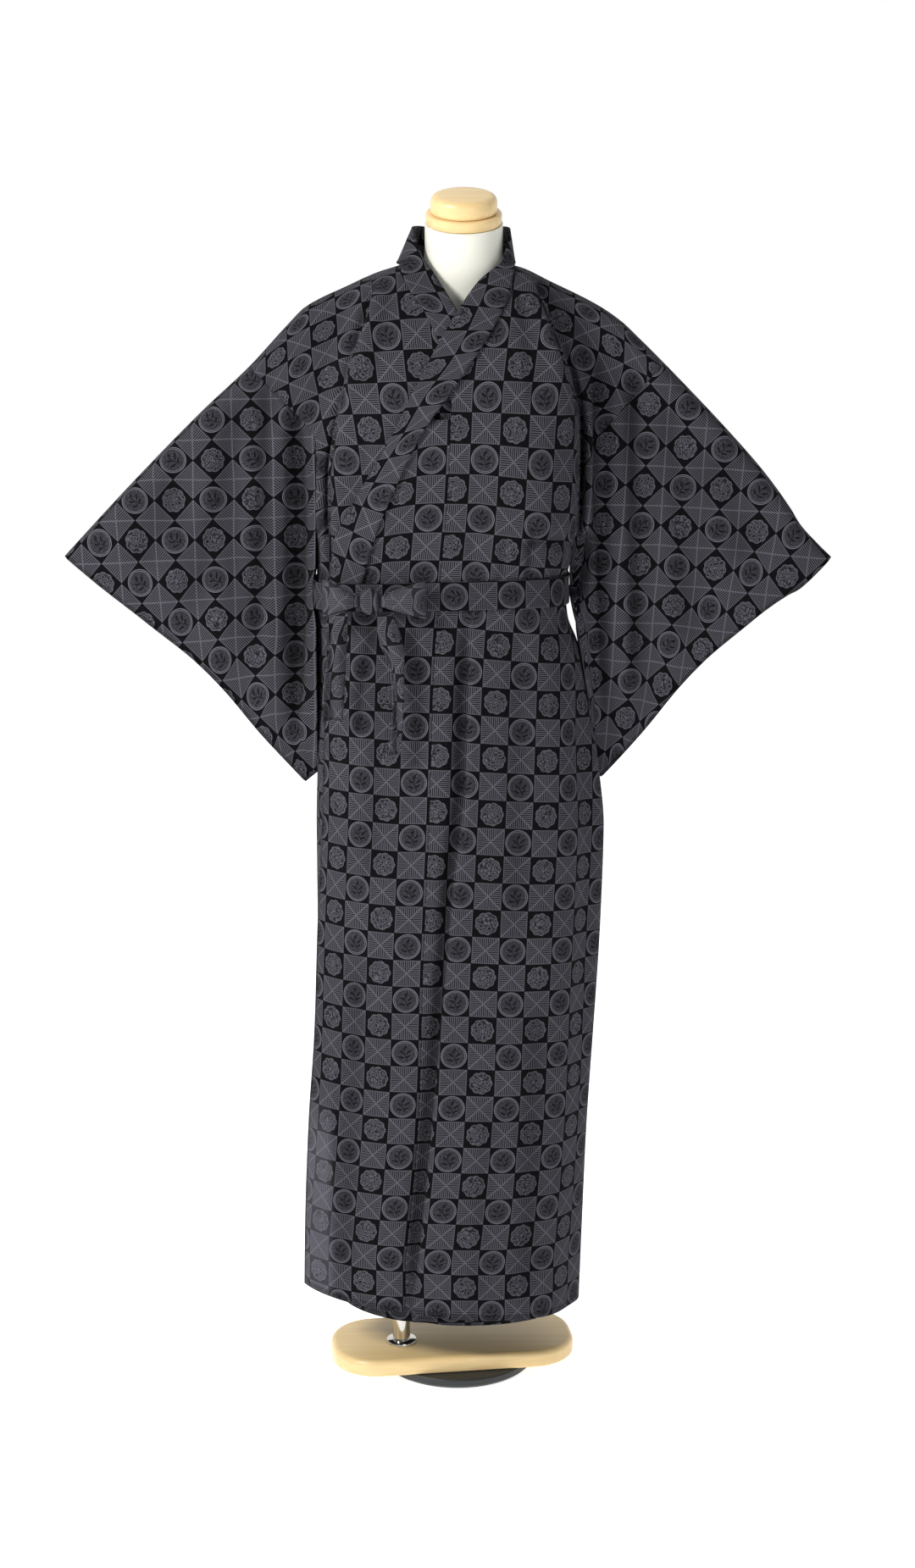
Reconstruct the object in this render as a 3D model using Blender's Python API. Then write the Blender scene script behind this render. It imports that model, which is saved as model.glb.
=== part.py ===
"""Cotton yukata robe with its sash, worn by a limbless dress form on a wooden foot.

Metres, +Z up. The wearer faces -Y, so the wearer's left is at +X. The origin is on the
floor, under the middle of the object's box. Every piece of cloth is a thin closed sheet
worked out from the garment's sizes: a sheet has an outer face given by a function of two
parameters and an inner face one wall further in.
"""

import math
from typing import NamedTuple

import bmesh
import bpy
import numpy as np

# --- Driving sizes --------------------------------------------------------------------
WALL = 0.0014  # cotton, with its seam allowances
SEAM = 0.0003  # gap between two pieces that are sewn together
COLLAR_WALL = 0.0022  # folded band with its stiffening
SASH_WALL = 0.0020
MIDDLE = 0.0105  # X of the robe's centre line
LAP = 0.0068  # how far the left front lies outside the right front
SPREAD_Z = 1.200  # above this height the rows of a panel fan out to the shoulder
ARMPIT_Z = 1.123  # top of the side seam, just above the sash
CHEST_Z = 1.190  # from here up the fronts are worked out by X and Z
COLLAR_UNDERLAP = 0.008  # how far a panel runs on under the collar


# --- Tables ---------------------------------------------------------------------------
class Section(NamedTuple):
    """One level cut of the robe's body: its extremes and how square it is."""

    z: float
    left: float
    free_edge: float
    right: float
    front: float
    back: float
    squareness: float


SECTIONS = (
    Section(0.080, -0.1500, -0.1995, 0.1805, 0.118, 0.122, 2.1),
    Section(0.230, -0.1586, -0.1961, 0.1850, 0.120, 0.126, 2.1),
    Section(0.370, -0.1650, -0.1896, 0.1895, 0.121, 0.129, 2.1),
    Section(0.500, -0.1700, -0.1800, 0.1948, 0.122, 0.132, 2.1),
    Section(0.650, -0.1759, -0.1738, 0.2022, 0.122, 0.135, 2.1),
    Section(0.780, -0.1758, -0.1665, 0.2052, 0.121, 0.137, 2.1),
    Section(0.850, -0.1738, -0.1640, 0.1985, 0.120, 0.136, 2.1),
    Section(0.950, -0.1710, -0.1600, 0.1840, 0.114, 0.126, 2.2),
    Section(1.020, -0.1705, -0.1565, 0.1715, 0.108, 0.112, 2.3),
    Section(1.060, -0.1705, -0.1560, 0.1565, 0.105, 0.102, 2.4),
    Section(1.100, -0.1710, -0.1560, 0.1530, 0.104, 0.098, 2.5),
    Section(1.140, -0.1705, -0.1560, 0.1610, 0.107, 0.100, 2.6),
    Section(1.200, -0.1695, -0.1560, 0.1700, 0.113, 0.107, 2.8),
    Section(1.300, -0.1680, -0.1560, 0.1720, 0.117, 0.112, 2.8),
    Section(1.560, -0.1680, -0.1560, 0.1720, 0.117, 0.112, 2.8),
)


class TopPoint(NamedTuple):
    """The line along the shoulders and the tops of the sleeves, seen from the front."""

    x: float
    z: float


TOP_LINE = (
    TopPoint(-0.5035, 1.1365),
    TopPoint(-0.4083, 1.2364),
    TopPoint(-0.3177, 1.3262),
    TopPoint(-0.2550, 1.3836),
    TopPoint(-0.2060, 1.4353),
    TopPoint(-0.1816, 1.4589),
    TopPoint(-0.1290, 1.4845),
    TopPoint(-0.0799, 1.5047),
    TopPoint(-0.0300, 1.5160),
    TopPoint(0.0400, 1.5180),
    TopPoint(0.0918, 1.5080),
    TopPoint(0.1293, 1.4910),
    TopPoint(0.1912, 1.4610),
    TopPoint(0.2234, 1.4395),
    TopPoint(0.2432, 1.4213),
    TopPoint(0.2843, 1.3815),
    TopPoint(0.3755, 1.2880),
    TopPoint(0.4145, 1.2440),
    TopPoint(0.4477, 1.1998),
    TopPoint(0.4618, 1.1778),
    TopPoint(0.4825, 1.1555),
    TopPoint(0.5035, 1.1354),
)


class Fold(NamedTuple):
    """The fold that runs from the shoulder to the waist beside the armhole, on one front."""

    z: float
    x: float
    valley_y: float
    strip_y: float


FOLDS = {
    -1: (
        Fold(1.080, -0.1512, -0.060, -0.052),
        Fold(1.180, -0.1515, -0.052, -0.050),
        Fold(1.250, -0.1503, -0.050, -0.049),
        Fold(1.3245, -0.1385, -0.060, -0.052),
        Fold(1.388, -0.1220, -0.064, -0.056),
        Fold(1.472, -0.0954, -0.060, -0.058),
        Fold(1.520, -0.0954, -0.060, -0.058),
    ),
    1: (
        Fold(1.080, 0.1505, -0.004, -0.030),
        Fold(1.180, 0.1668, -0.004, -0.032),
        Fold(1.250, 0.1680, -0.004, -0.036),
        Fold(1.3127, 0.1672, -0.012, -0.040),
        Fold(1.373, 0.1535, -0.036, -0.044),
        Fold(1.460, 0.1230, -0.058, -0.052),
        Fold(1.492, 0.1095, -0.060, -0.056),
        Fold(1.520, 0.1095, -0.060, -0.056),
    ),
}


class Path(NamedTuple):
    """A line on a front or a back: its X at a height."""

    z: float
    x: float


OKUMI_SEAM_LEFT = (
    Path(0.080, -0.0610),
    Path(0.1588, -0.0540),
    Path(0.360, -0.0407),
    Path(0.6315, -0.0320),
    Path(0.8162, -0.0237),
    Path(0.9942, -0.0179),
    Path(1.1184, -0.0090),
    Path(1.2213, -0.0003),
    Path(1.3560, 0.0060),
)
UPPER_COLLAR_SEAM = (
    Path(1.0800, -0.1200),
    Path(1.1236, -0.1062),
    Path(1.1668, -0.0940),
    Path(1.2279, -0.0689),
    Path(1.2927, -0.0397),
    Path(1.3560, 0.0051),
    Path(1.4048, 0.0390),
    Path(1.4492, 0.0657),
    Path(1.4752, 0.0790),
    Path(1.5035, 0.0836),
    Path(1.5300, 0.0840),
)
LOWER_COLLAR_SEAM = (
    Path(1.0800, 0.1080),
    Path(1.2000, 0.0800),
    Path(1.3000, 0.0450),
    Path(1.3900, 0.0040),
    Path(1.4368, -0.0226),
    Path(1.4607, -0.0333),
    Path(1.4804, -0.0473),
    Path(1.5056, -0.0606),
    Path(1.5300, -0.0620),
)
OKUMI_SEAM_RIGHT = (Path(0.080, 0.030), Path(1.100, 0.034), Path(1.290, 0.044))
UNDER_EDGE = (Path(0.080, 0.118), Path(0.600, 0.138), Path(1.000, 0.126), Path(1.080, 0.116))


EDGE_TURN = (  # where the left front's free edge lies, in degrees turned from the right side
    Path(0.080, 160.0),
    Path(0.650, 160.0),
    Path(0.850, 157.0),
    Path(1.020, 152.0),
    Path(1.100, 148.0),
    Path(1.300, 148.0),
)


class Outline(NamedTuple):
    """A sleeve seen from the front: where it leaves the shoulder, its tip, its foot, the armhole's bend."""

    shoulder: tuple
    tip: tuple
    foot: tuple
    armhole: tuple


SLEEVES = {
    -1: Outline((-0.2550, 1.3836), (-0.5035, 1.1365), (-0.1922, 0.8357), (-0.1690, 1.2960)),
    1: Outline((0.2775, 1.3881), (0.5035, 1.1354), (0.2058, 0.8415), (0.1900, 1.2900)),
}
SLEEVE_INNER = {  # the sleeve's inner edge below the armhole's bend
    -1: (
        Path(0.8500, -0.1768),
        Path(0.9500, -0.1745),
        Path(1.1000, -0.1762),
        Path(1.2400, -0.1712),
        Path(1.2960, -0.1700),
    ),
    1: (
        Path(0.8500, 0.2025),
        Path(0.9500, 0.1880),
        Path(1.0200, 0.1765),
        Path(1.0600, 0.1668),
        Path(1.1200, 0.1695),
        Path(1.2400, 0.1760),
        Path(1.2900, 0.1910),
    ),
}


class Cuff(NamedTuple):
    """How far the cuff's line runs in from the straight one between tip and foot, and how open it is."""

    along: float
    hollow: float
    opening: float


CUFF = (
    Cuff(0.00, 0.000, 0.0060),
    Cuff(0.12, 0.002, 0.0140),
    Cuff(0.32, 0.010, 0.0200),
    Cuff(0.52, 0.017, 0.0120),
    Cuff(0.62, 0.015, 0.0042),
    Cuff(0.80, 0.006, 0.0040),
    Cuff(1.00, 0.000, 0.0040),
)


class CollarRow(NamedTuple):
    """One station along the collar: its seam edge and its free edge, and how far each lies off the front."""

    seam_x: float
    seam_y: float
    seam_z: float
    free_x: float
    free_y: float
    free_z: float


# Where seam_y or free_y is None, the edge lies on the front at that X and Z.
COLLAR = (
    CollarRow(-0.1165, None, 1.0850, -0.1540, None, 1.0990),
    CollarRow(-0.1062, None, 1.1236, -0.1490, None, 1.1420),
    CollarRow(-0.0890, None, 1.1800, -0.1290, None, 1.1980),
    CollarRow(-0.0600, None, 1.2480, -0.1010, None, 1.2480),
    CollarRow(-0.0300, None, 1.3070, -0.0740, None, 1.2930),
    CollarRow(0.0051, None, 1.3560, -0.0440, None, 1.3540),
    CollarRow(0.0390, None, 1.4048, -0.0214, None, 1.3965),
    CollarRow(0.0657, None, 1.4492, 0.0125, None, 1.4540),
    CollarRow(0.0800, None, 1.4820, 0.0380, None, 1.4890),
    CollarRow(0.0852, -0.022, 1.5140, 0.0700, -0.032, 1.5200),
    CollarRow(0.0850, 0.008, 1.5135, 0.0780, -0.002, 1.5560),
    CollarRow(0.0660, 0.042, 1.5085, 0.0680, 0.044, 1.5610),
    CollarRow(0.0120, 0.0645, 1.4940, 0.0170, 0.064, 1.5540),
    CollarRow(-0.0440, 0.042, 1.5085, -0.0330, 0.044, 1.5610),
    CollarRow(-0.0640, 0.008, 1.5130, -0.0440, 0.002, 1.5580),
    CollarRow(-0.0630, -0.024, 1.5150, -0.0335, -0.030, 1.5250),
    CollarRow(-0.0510, -0.066, 1.4850, -0.0130, None, 1.4940),
    CollarRow(-0.0333, None, 1.4607, 0.0115, None, 1.4560),
    CollarRow(-0.0040, None, 1.4050, 0.0470, None, 1.3990),
    CollarRow(0.0400, None, 1.3220, 0.0820, None, 1.3330),
    CollarRow(0.0700, None, 1.2150, 0.1000, None, 1.2330),
    CollarRow(0.0820, None, 1.1400, 0.1040, None, 1.1500),
)
COLLAR_CROSSING = 8  # the rows before this one lie outside the left front, the rest inside it


# --- Curves through the tables --------------------------------------------------------
def smooth(rows, column, at, key=0):
    """The column's value at a key, on a smooth curve that doesn't overshoot between rows."""
    keys = [row[key] for row in rows]
    values = [row[column] for row in rows]
    at = min(max(at, keys[0]), keys[-1])
    i = min(max(int(np.searchsorted(keys, at, side="right")) - 1, 0), len(keys) - 2)

    def slope(j):
        if j in (0, len(keys) - 1):
            return 0.0 if len(keys) > 2 else (values[-1] - values[0]) / (keys[-1] - keys[0])
        before = (values[j] - values[j - 1]) / (keys[j] - keys[j - 1])
        after = (values[j + 1] - values[j]) / (keys[j + 1] - keys[j])
        return 0.0 if before * after <= 0 else 2 * before * after / (before + after)

    span = keys[i + 1] - keys[i]
    t = (at - keys[i]) / span
    first, last = slope(i), slope(i + 1)
    if i == 0:
        first = 1.5 * (values[1] - values[0]) / span - 0.5 * last
    if i == len(keys) - 2:
        last = 1.5 * (values[-1] - values[-2]) / span - 0.5 * first
    return (
        (1 + 2 * t) * (1 - t) ** 2 * values[i]
        + t * (1 - t) ** 2 * span * first
        + t * t * (3 - 2 * t) * values[i + 1]
        + t * t * (t - 1) * span * last
    )


def ease(low, high, at):
    """0 below low, 1 above high, smooth between."""
    t = min(max((at - low) / (high - low), 0.0), 1.0)
    return t * t * (3 - 2 * t)


def blend(first, last, weight):
    """A point or number between two others."""
    return first + (last - first) * weight


def roll(share):
    """The depth of a sheet that rolls over an edge: 0 at the edge, 1 one radius below it."""
    share = min(max(share, 0.0), 1.0)
    return math.sqrt(1 - (1 - share) ** 2)


def path_x(path, z):
    return smooth(path, 1, z)


def section(z):
    z = min(max(z, SECTIONS[0].z), SECTIONS[-1].z)
    return Section(z, *(smooth(SECTIONS, column, z) for column in range(1, 7)))


def top_z(x):
    return smooth(TOP_LINE, 1, x)


# --- The robe's body as a tube and as two faces ---------------------------------------
SKIRT_FOLDS = (  # turn from the right side in degrees, width in degrees, depth, lowest and highest Z
    (104.0, 6.5, -0.0045, 0.00, 1.02),
    (28.0, 9.0, -0.0060, 0.40, 1.02),
    (12.0, 7.0, 0.0050, 0.30, 1.00),
    (-35.0, 9.0, -0.0055, 0.00, 1.00),
    (-64.0, 8.0, 0.0045, 0.00, 0.98),
    (-112.0, 9.0, -0.0055, 0.00, 1.00),
    (-148.0, 8.0, 0.0045, 0.00, 0.96),
)


def skirt_fold(turn, z):
    """How far the skirt's long folds move it out at a turn, in metres."""
    degrees = math.degrees(turn)
    if degrees > 180:
        degrees -= 360
    return sum(
        depth
        * math.exp(-(((degrees - at) / width) ** 2))
        * ease(high, high - 0.16, z)
        * (1 - 0.7 * ease(low + 0.25, low, z) if low > 0 else 1)
        for at, width, depth, low, high in SKIRT_FOLDS
    )


def edge_turn(z):
    return math.radians(smooth(EDGE_TURN, 1, z))


def flap_reach(cut):
    """Half the width of the left front's cut on the wearer's right."""
    return (MIDDLE - cut.free_edge) / abs(math.cos(edge_turn(cut.z))) ** (2 / cut.squareness)


def tube(turn, z, out=0.0, flap=False):
    """A point on the body's level cut, turned from the right side towards the front."""
    cut = section(z)
    cos, sin = math.cos(turn), math.sin(turn)
    power = 2 / cut.squareness
    across = (cut.right if cos > 0 else 2 * MIDDLE - cut.left) - MIDDLE
    if flap and cos < 0:
        across = flap_reach(cut) - out
    deep = cut.front if sin > 0 else cut.back
    out += skirt_fold(turn, z)
    x = MIDDLE + (across + out) * math.copysign(abs(cos) ** power, cos)
    y = -(deep + out) * math.copysign(abs(sin) ** power, sin)
    return np.array((x, y, z))


def turn_of(x, z, out=0.0, flap=False):
    """The turn at which the front of the tube reaches an X."""
    cut = section(z)
    reach = (cut.right - MIDDLE if x > MIDDLE else MIDDLE - cut.left) + out
    if flap and x < MIDDLE:
        reach = flap_reach(cut)
    share = min(abs(x - MIDDLE) / reach, 1.0)
    turn = math.acos(share ** (cut.squareness / 2))
    return turn if x > MIDDLE else math.pi - turn


def roll_height(x):
    """How far below the top line the cloth is still rolling over the shoulder."""
    return blend(0.200, 0.022, ease(0.02, 0.25, abs(x - MIDDLE)))


ARM_FRONT, ARM_BACK, TOP_Y = -0.022, 0.024, 0.002


def arm_front(x, z):
    """Y of the sleeve's front face, with its soft hanging folds."""
    reach = abs(x)
    wave = 0.006 * math.cos((reach - 0.205) / 0.034 * math.pi) * ease(0.46, 0.22, reach)
    return ARM_FRONT + 0.004 * ease(0.20, 0.45, reach) + wave * ease(1.36, 1.20, z)


def arm_back(x, z):
    """Y of the sleeve's back face."""
    reach = abs(x)
    wave = 0.006 * math.cos((reach - 0.225) / 0.040 * math.pi) * ease(0.46, 0.22, reach)
    return ARM_BACK - 0.004 * ease(0.20, 0.45, reach) + wave * ease(1.36, 1.20, z)


def front_y(x, z, out=0.0):
    """Y of the robe's front face at an X and Z above the waist, a distance out of the right front."""
    side = 1 if x > MIDDLE else -1
    folds = FOLDS[side]
    fold_x, valley, strip = (smooth(folds, column, z) for column in (1, 2, 3))
    past = side * (x - fold_x)
    chest_x = x if past < 0 else fold_x
    chest = tube(turn_of(chest_x, z, out), z, out)[1]
    full = chest
    if past >= 0:
        valley_at, strip_at, arm_at = 0.004, 0.013, 0.032
        deep = max(valley, chest)
        rise = max(strip, chest)
        if past < valley_at:
            full = blend(chest, deep, past / valley_at)
        elif past < strip_at:
            full = blend(deep, rise, ease(valley_at, strip_at, past))
        else:
            full = blend(rise, arm_front(x, z), ease(strip_at, arm_at, past))
    drop = top_z(x) - z
    return blend(TOP_Y, full, roll(drop / roll_height(x)))


def back_y(x, z):
    """Y of the robe's back face at an X and Z above the waist."""
    cut = section(z)
    edge = 0.155
    near = MIDDLE + math.copysign(min(abs(x - MIDDLE), edge - 0.004), x - MIDDLE)
    reach = cut.right - MIDDLE if x > MIDDLE else MIDDLE - cut.left
    share = min(abs(near - MIDDLE) / reach, 1.0)
    full = cut.back * (1 - share**cut.squareness) ** (1 / cut.squareness)
    full = blend(full, arm_back(x, z), ease(edge - 0.004, edge + 0.022, abs(x - MIDDLE)))
    drop = top_z(x) - z
    return blend(TOP_Y, full, roll(drop / roll_height(x)))


# --- Meshes ---------------------------------------------------------------------------
def material(name, colour, roughness, metallic=0.0):
    made = bpy.data.materials.new(name)
    made.use_nodes = True
    shader = made.node_tree.nodes["Principled BSDF"]
    shader.inputs["Base Color"].default_value = (*colour, 1.0)
    shader.inputs["Roughness"].default_value = roughness
    shader.inputs["Metallic"].default_value = metallic
    return made


def place(name, mesh, finish):
    piece = bpy.data.objects.new(name, mesh)
    bpy.context.scene.collection.objects.link(piece)
    mesh.materials.append(finish)
    return piece


def normals_of(points, closed):
    """The outward direction at each point of a grid, from its neighbours."""
    if closed:
        ahead = np.roll(points, -1, axis=0) - np.roll(points, 1, axis=0)
    else:
        ahead = np.gradient(points, axis=0)
    normal = np.cross(ahead, np.gradient(points, axis=1))
    length = np.linalg.norm(normal, axis=2, keepdims=True)
    return normal / np.maximum(length, 1e-9)


def sheet(name, surface, across, along, finish, wall=WALL, flip=False, closed=False):
    """A closed sheet of cloth: its outer face is surface(u, v), its inner face one wall in."""
    outer = np.array([[surface(u, v) for v in along] for u in across])
    inwards = wall if flip else -wall
    inner = outer + normals_of(outer, closed) * inwards
    rows, columns = outer.shape[:2]
    made = bmesh.new()
    skins = [[[made.verts.new(p) for p in row] for row in skin] for skin in (outer, inner)]
    steps = range(rows if closed else rows - 1)
    for i in steps:
        k = (i + 1) % rows
        for j in range(columns - 1):
            for skin in skins:
                made.faces.new((skin[i][j], skin[k][j], skin[k][j + 1], skin[i][j + 1]))
        for j in (0, columns - 1):
            made.faces.new((skins[0][i][j], skins[0][k][j], skins[1][k][j], skins[1][i][j]))
    if not closed:
        for i in (0, rows - 1):
            for j in range(columns - 1):
                face = (skins[0][i][j], skins[0][i][j + 1], skins[1][i][j + 1], skins[1][i][j])
                made.faces.new(face)
    bmesh.ops.recalc_face_normals(made, faces=made.faces)
    mesh = bpy.data.meshes.new(name)
    made.to_mesh(mesh)
    made.free()
    mesh.shade_smooth()
    mesh.set_sharp_from_angle(angle=math.radians(50))
    return place(name, mesh, finish)


def stack(name, rings, finish):
    """A closed solid through rings of points, one above another, with a cap at each end."""
    made = bmesh.new()
    loops = [[made.verts.new(p) for p in ring] for ring in rings]
    for low, high in zip(loops, loops[1:]):
        for i in range(len(low)):
            k = (i + 1) % len(low)
            made.faces.new((low[i], low[k], high[k], high[i]))
    made.faces.new(loops[0])
    made.faces.new(loops[-1])
    bmesh.ops.recalc_face_normals(made, faces=made.faces)
    mesh = bpy.data.meshes.new(name)
    made.to_mesh(mesh)
    made.free()
    mesh.shade_smooth()
    mesh.set_sharp_from_angle(angle=math.radians(35))
    return place(name, mesh, finish)


def spread(first, last, count):
    return [blend(first, last, i / (count - 1)) for i in range(count)]


# --- Rows of a panel ------------------------------------------------------------------
def row_height(rise, x):
    """Z of a panel's row at an X. Rise is a height below SPREAD_Z and then 0 to 1 up to the top line."""
    if rise < SPREAD_Z:
        return rise
    share = rise - SPREAD_Z
    return blend(SPREAD_Z, top_z(x), share)


def on_path(path_of_z, rise):
    """Where a line given as X of Z meets a row."""
    if rise <= SPREAD_Z:
        return path_of_z(rise), rise
    low, high = SPREAD_Z, 1.56
    for _ in range(40):
        z = (low + high) / 2
        if row_height(rise, path_of_z(z)) > z:
            low = z
        else:
            high = z
    x = path_of_z(low)
    return x, row_height(rise, x)


BEND = 0.0  # stands for the row at the armhole's bend
SKIRT_ROWS = [0.0, 0.12, 0.24, 0.36, 0.48, 0.60, 0.70, 0.79, 0.86, 0.92, 0.98, 1.03]
WAIST_ROWS = [1.060, 1.085, 1.110, 1.145, 1.190]
SHARES = [0.12, 0.24, BEND, 0.46, 0.57, 0.68, 0.79, 0.88, 0.945, 0.982, 1.0]


def panel_rises(side):
    """The heights of a body panel's rows, one of which meets the armhole's bend."""
    bend_x, bend_z = SLEEVES[side].armhole
    bend = (bend_z - SPREAD_Z) / (top_z(bend_x) - SPREAD_Z)
    return SKIRT_ROWS + WAIST_ROWS + [SPREAD_Z + (share or bend) for share in SHARES]


def hem_z(x, under):
    """Z of the hem at an X: the left front's runs down to the right, and the rest hangs a little lower."""
    if under:
        return blend(0.1080, 0.1040, ease(-0.16, 0.10, x))
    return blend(0.1345, 0.1030, min(max((x + 0.198) / 0.378, 0.0), 1.0))


def settle(rise, x, under):
    """A row's height with the lowest rows moved to the hem's line."""
    if rise > 0.60:
        return rise
    return blend(hem_z(x, under), 0.60, rise / 0.60)


def armhole_x(side, fold_gap):
    """The outer line of a body panel, X of Z: the side, and above the armpit the armhole's seam."""
    corner = SLEEVES[side]
    (top_x, top), (low_x, low) = corner.shoulder, corner.armhole

    def line(z):
        if z >= low:
            return blend(low_x, top_x, (z - low) / (top - low))
        cut = section(z)
        side_x = cut.right if side > 0 else cut.left
        return blend(side_x, low_x, ease(low - 0.055, low, z)) - side * fold_gap

    return line


def body_panel(name, side, finish):
    """One half of the robe's body, front and back in one length over the shoulder."""
    outer_layer = side > 0
    out = LAP if outer_layer else 0.0
    okumi = OKUMI_SEAM_LEFT if outer_layer else OKUMI_SEAM_RIGHT
    collar = UPPER_COLLAR_SEAM if outer_layer else LOWER_COLLAR_SEAM
    okumi_top = okumi[-1].z
    lap = -side * COLLAR_UNDERLAP
    side_turn = 0.0 if side > 0 else math.pi

    def inner_front(z):
        seam = path_x(okumi, z) + side * SEAM / 2
        neck = path_x(collar, z) + lap * ease(1.475, 1.420, z)
        return blend(seam, neck, ease(okumi_top - 0.012, okumi_top + 0.006, z))

    def inner_back(z):
        neck = (0.0855 if side > 0 else -0.0640) - MIDDLE
        return MIDDLE + side * SEAM / 2 + neck * ease(1.488, 1.513, z)

    outer = armhole_x(side, SEAM)

    def offset(x, z):
        """The left front comes in to the right front's level where it turns the side."""
        return out * ease(0.98, 0.66, abs(x - MIDDLE) / (section(z).right - MIDDLE))

    def front(u, rise):
        if rise <= WAIST_ROWS[-1]:
            edge = path_x(okumi, max(rise, 0.10)) + side * SEAM / 2
            first = turn_of(edge, max(rise, 0.10), out, outer_layer)
            turn = blend(first, side_turn, u)
            x = tube(turn, max(rise, 0.10), 0.0, outer_layer)[0]
            z = settle(rise, x, not outer_layer)
            low = tube(turn, z, offset(x, z), outer_layer)
            low[1] -= SEAM * 0.7 if u == 1 else 0.0
            if rise <= ARMPIT_Z:
                return low
        inner_x, inner_z = on_path(inner_front, rise)
        fold_x = on_path(lambda z: smooth(FOLDS[side], 1, z), rise)[0]
        outer_x, outer_z = on_path(outer, rise)
        if u < FOLD_SHARE:
            x = blend(inner_x, fold_x, 1 - (1 - u / FOLD_SHARE) ** 1.15)
        else:
            x = blend(fold_x, outer_x, (u - FOLD_SHARE) / (1 - FOLD_SHARE))
        z = row_height(rise, x)
        high = np.array((x, front_y(x, z, offset(x, z)), z))
        if rise > WAIST_ROWS[-1]:
            return high
        return blend(low, high, ease(ARMPIT_Z, WAIST_ROWS[-1], rise))

    def back(u, rise):
        turn = blend(math.radians(-90 if side > 0 else 270), side_turn, u)
        if rise <= WAIST_ROWS[-1]:
            z = settle(rise, 0.0, True)
            low = tube(turn, z)
            if abs(u) < 1e-9:
                low[0] += side * SEAM / 2
            if rise <= ARMPIT_Z:
                low[1] += SEAM * 0.7 if u == 1 else 0.0
                return low
        inner_x = on_path(inner_back, rise)[0]
        outer_x = on_path(outer, rise)[0]
        x = blend(inner_x, outer_x, u)
        z = row_height(rise, x)
        high = np.array((x, back_y(x, z), z))
        if rise > WAIST_ROWS[-1]:
            return high
        return blend(low, high, ease(ARMPIT_Z, WAIST_ROWS[-1], rise))

    def surface(u, v):
        """V runs from 0 at the front's hem to 1 on the shoulder and 2 at the back's hem."""
        if v <= steps:
            return front(u, rises[v])
        return back(u, rises[2 * steps - v])

    rises = panel_rises(side)
    steps = len(rises) - 1
    return sheet(name, surface, PANEL_COLUMNS, range(2 * steps + 1), finish, flip=side > 0)


FOLD_SHARE = 0.72
PANEL_COLUMNS = [0.0, 0.12, 0.24, 0.36, 0.48, 0.60, 0.72, 0.79, 0.86, 0.93, 1.0]


def okumi_left(finish):
    """The wearer's left overlap: a strip down the front, with a point that runs up beside the collar."""
    tip_z = 1.322

    def left_x(z):
        collar = path_x(UPPER_COLLAR_SEAM, z) - COLLAR_UNDERLAP
        return blend(section(z).free_edge, collar, ease(1.064, 1.084, z))

    def surface(u, rise):
        z = max(rise, 0.10)
        right = path_x(OKUMI_SEAM_LEFT, z) - SEAM / 2
        turn = blend(turn_of(right, z, LAP, True), turn_of(left_x(z), z, LAP, True), u)
        x = tube(turn, z, LAP, True)[0]
        low = tube(turn, settle(rise, x, False), LAP, True)
        if rise <= ARMPIT_Z:
            return low
        x = blend(right, left_x(rise), u)
        high = np.array((x, front_y(x, rise, LAP), rise))
        return blend(low, high, ease(ARMPIT_Z, CHEST_Z, rise))

    rises = SKIRT_ROWS + WAIST_ROWS + [1.235, 1.280, tip_z]
    return sheet("overlap_left", surface, spread(0, 1, 6), rises, finish)


def okumi_right(finish):
    """The wearer's right overlap, which lies under the left front."""

    def surface(u, rise):
        z = max(rise, 0.10)
        left = path_x(OKUMI_SEAM_RIGHT, z) + SEAM / 2
        right = path_x(UNDER_EDGE, z)
        if rise > 1.080:
            right = path_x(LOWER_COLLAR_SEAM, z) + COLLAR_UNDERLAP
        turn = blend(turn_of(left, z), turn_of(right, z), u)
        x = tube(turn, z)[0]
        low = tube(turn, settle(rise, x, True))
        if rise <= ARMPIT_Z:
            return low
        x = blend(left, right, u)
        high = np.array((x, front_y(x, rise), rise))
        return blend(low, high, ease(ARMPIT_Z, CHEST_Z, rise))

    rises = SKIRT_ROWS + WAIST_ROWS + [1.230, 1.262]
    return sheet("overlap_right", surface, spread(0, 1, 4), rises, finish, flip=True)


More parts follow.
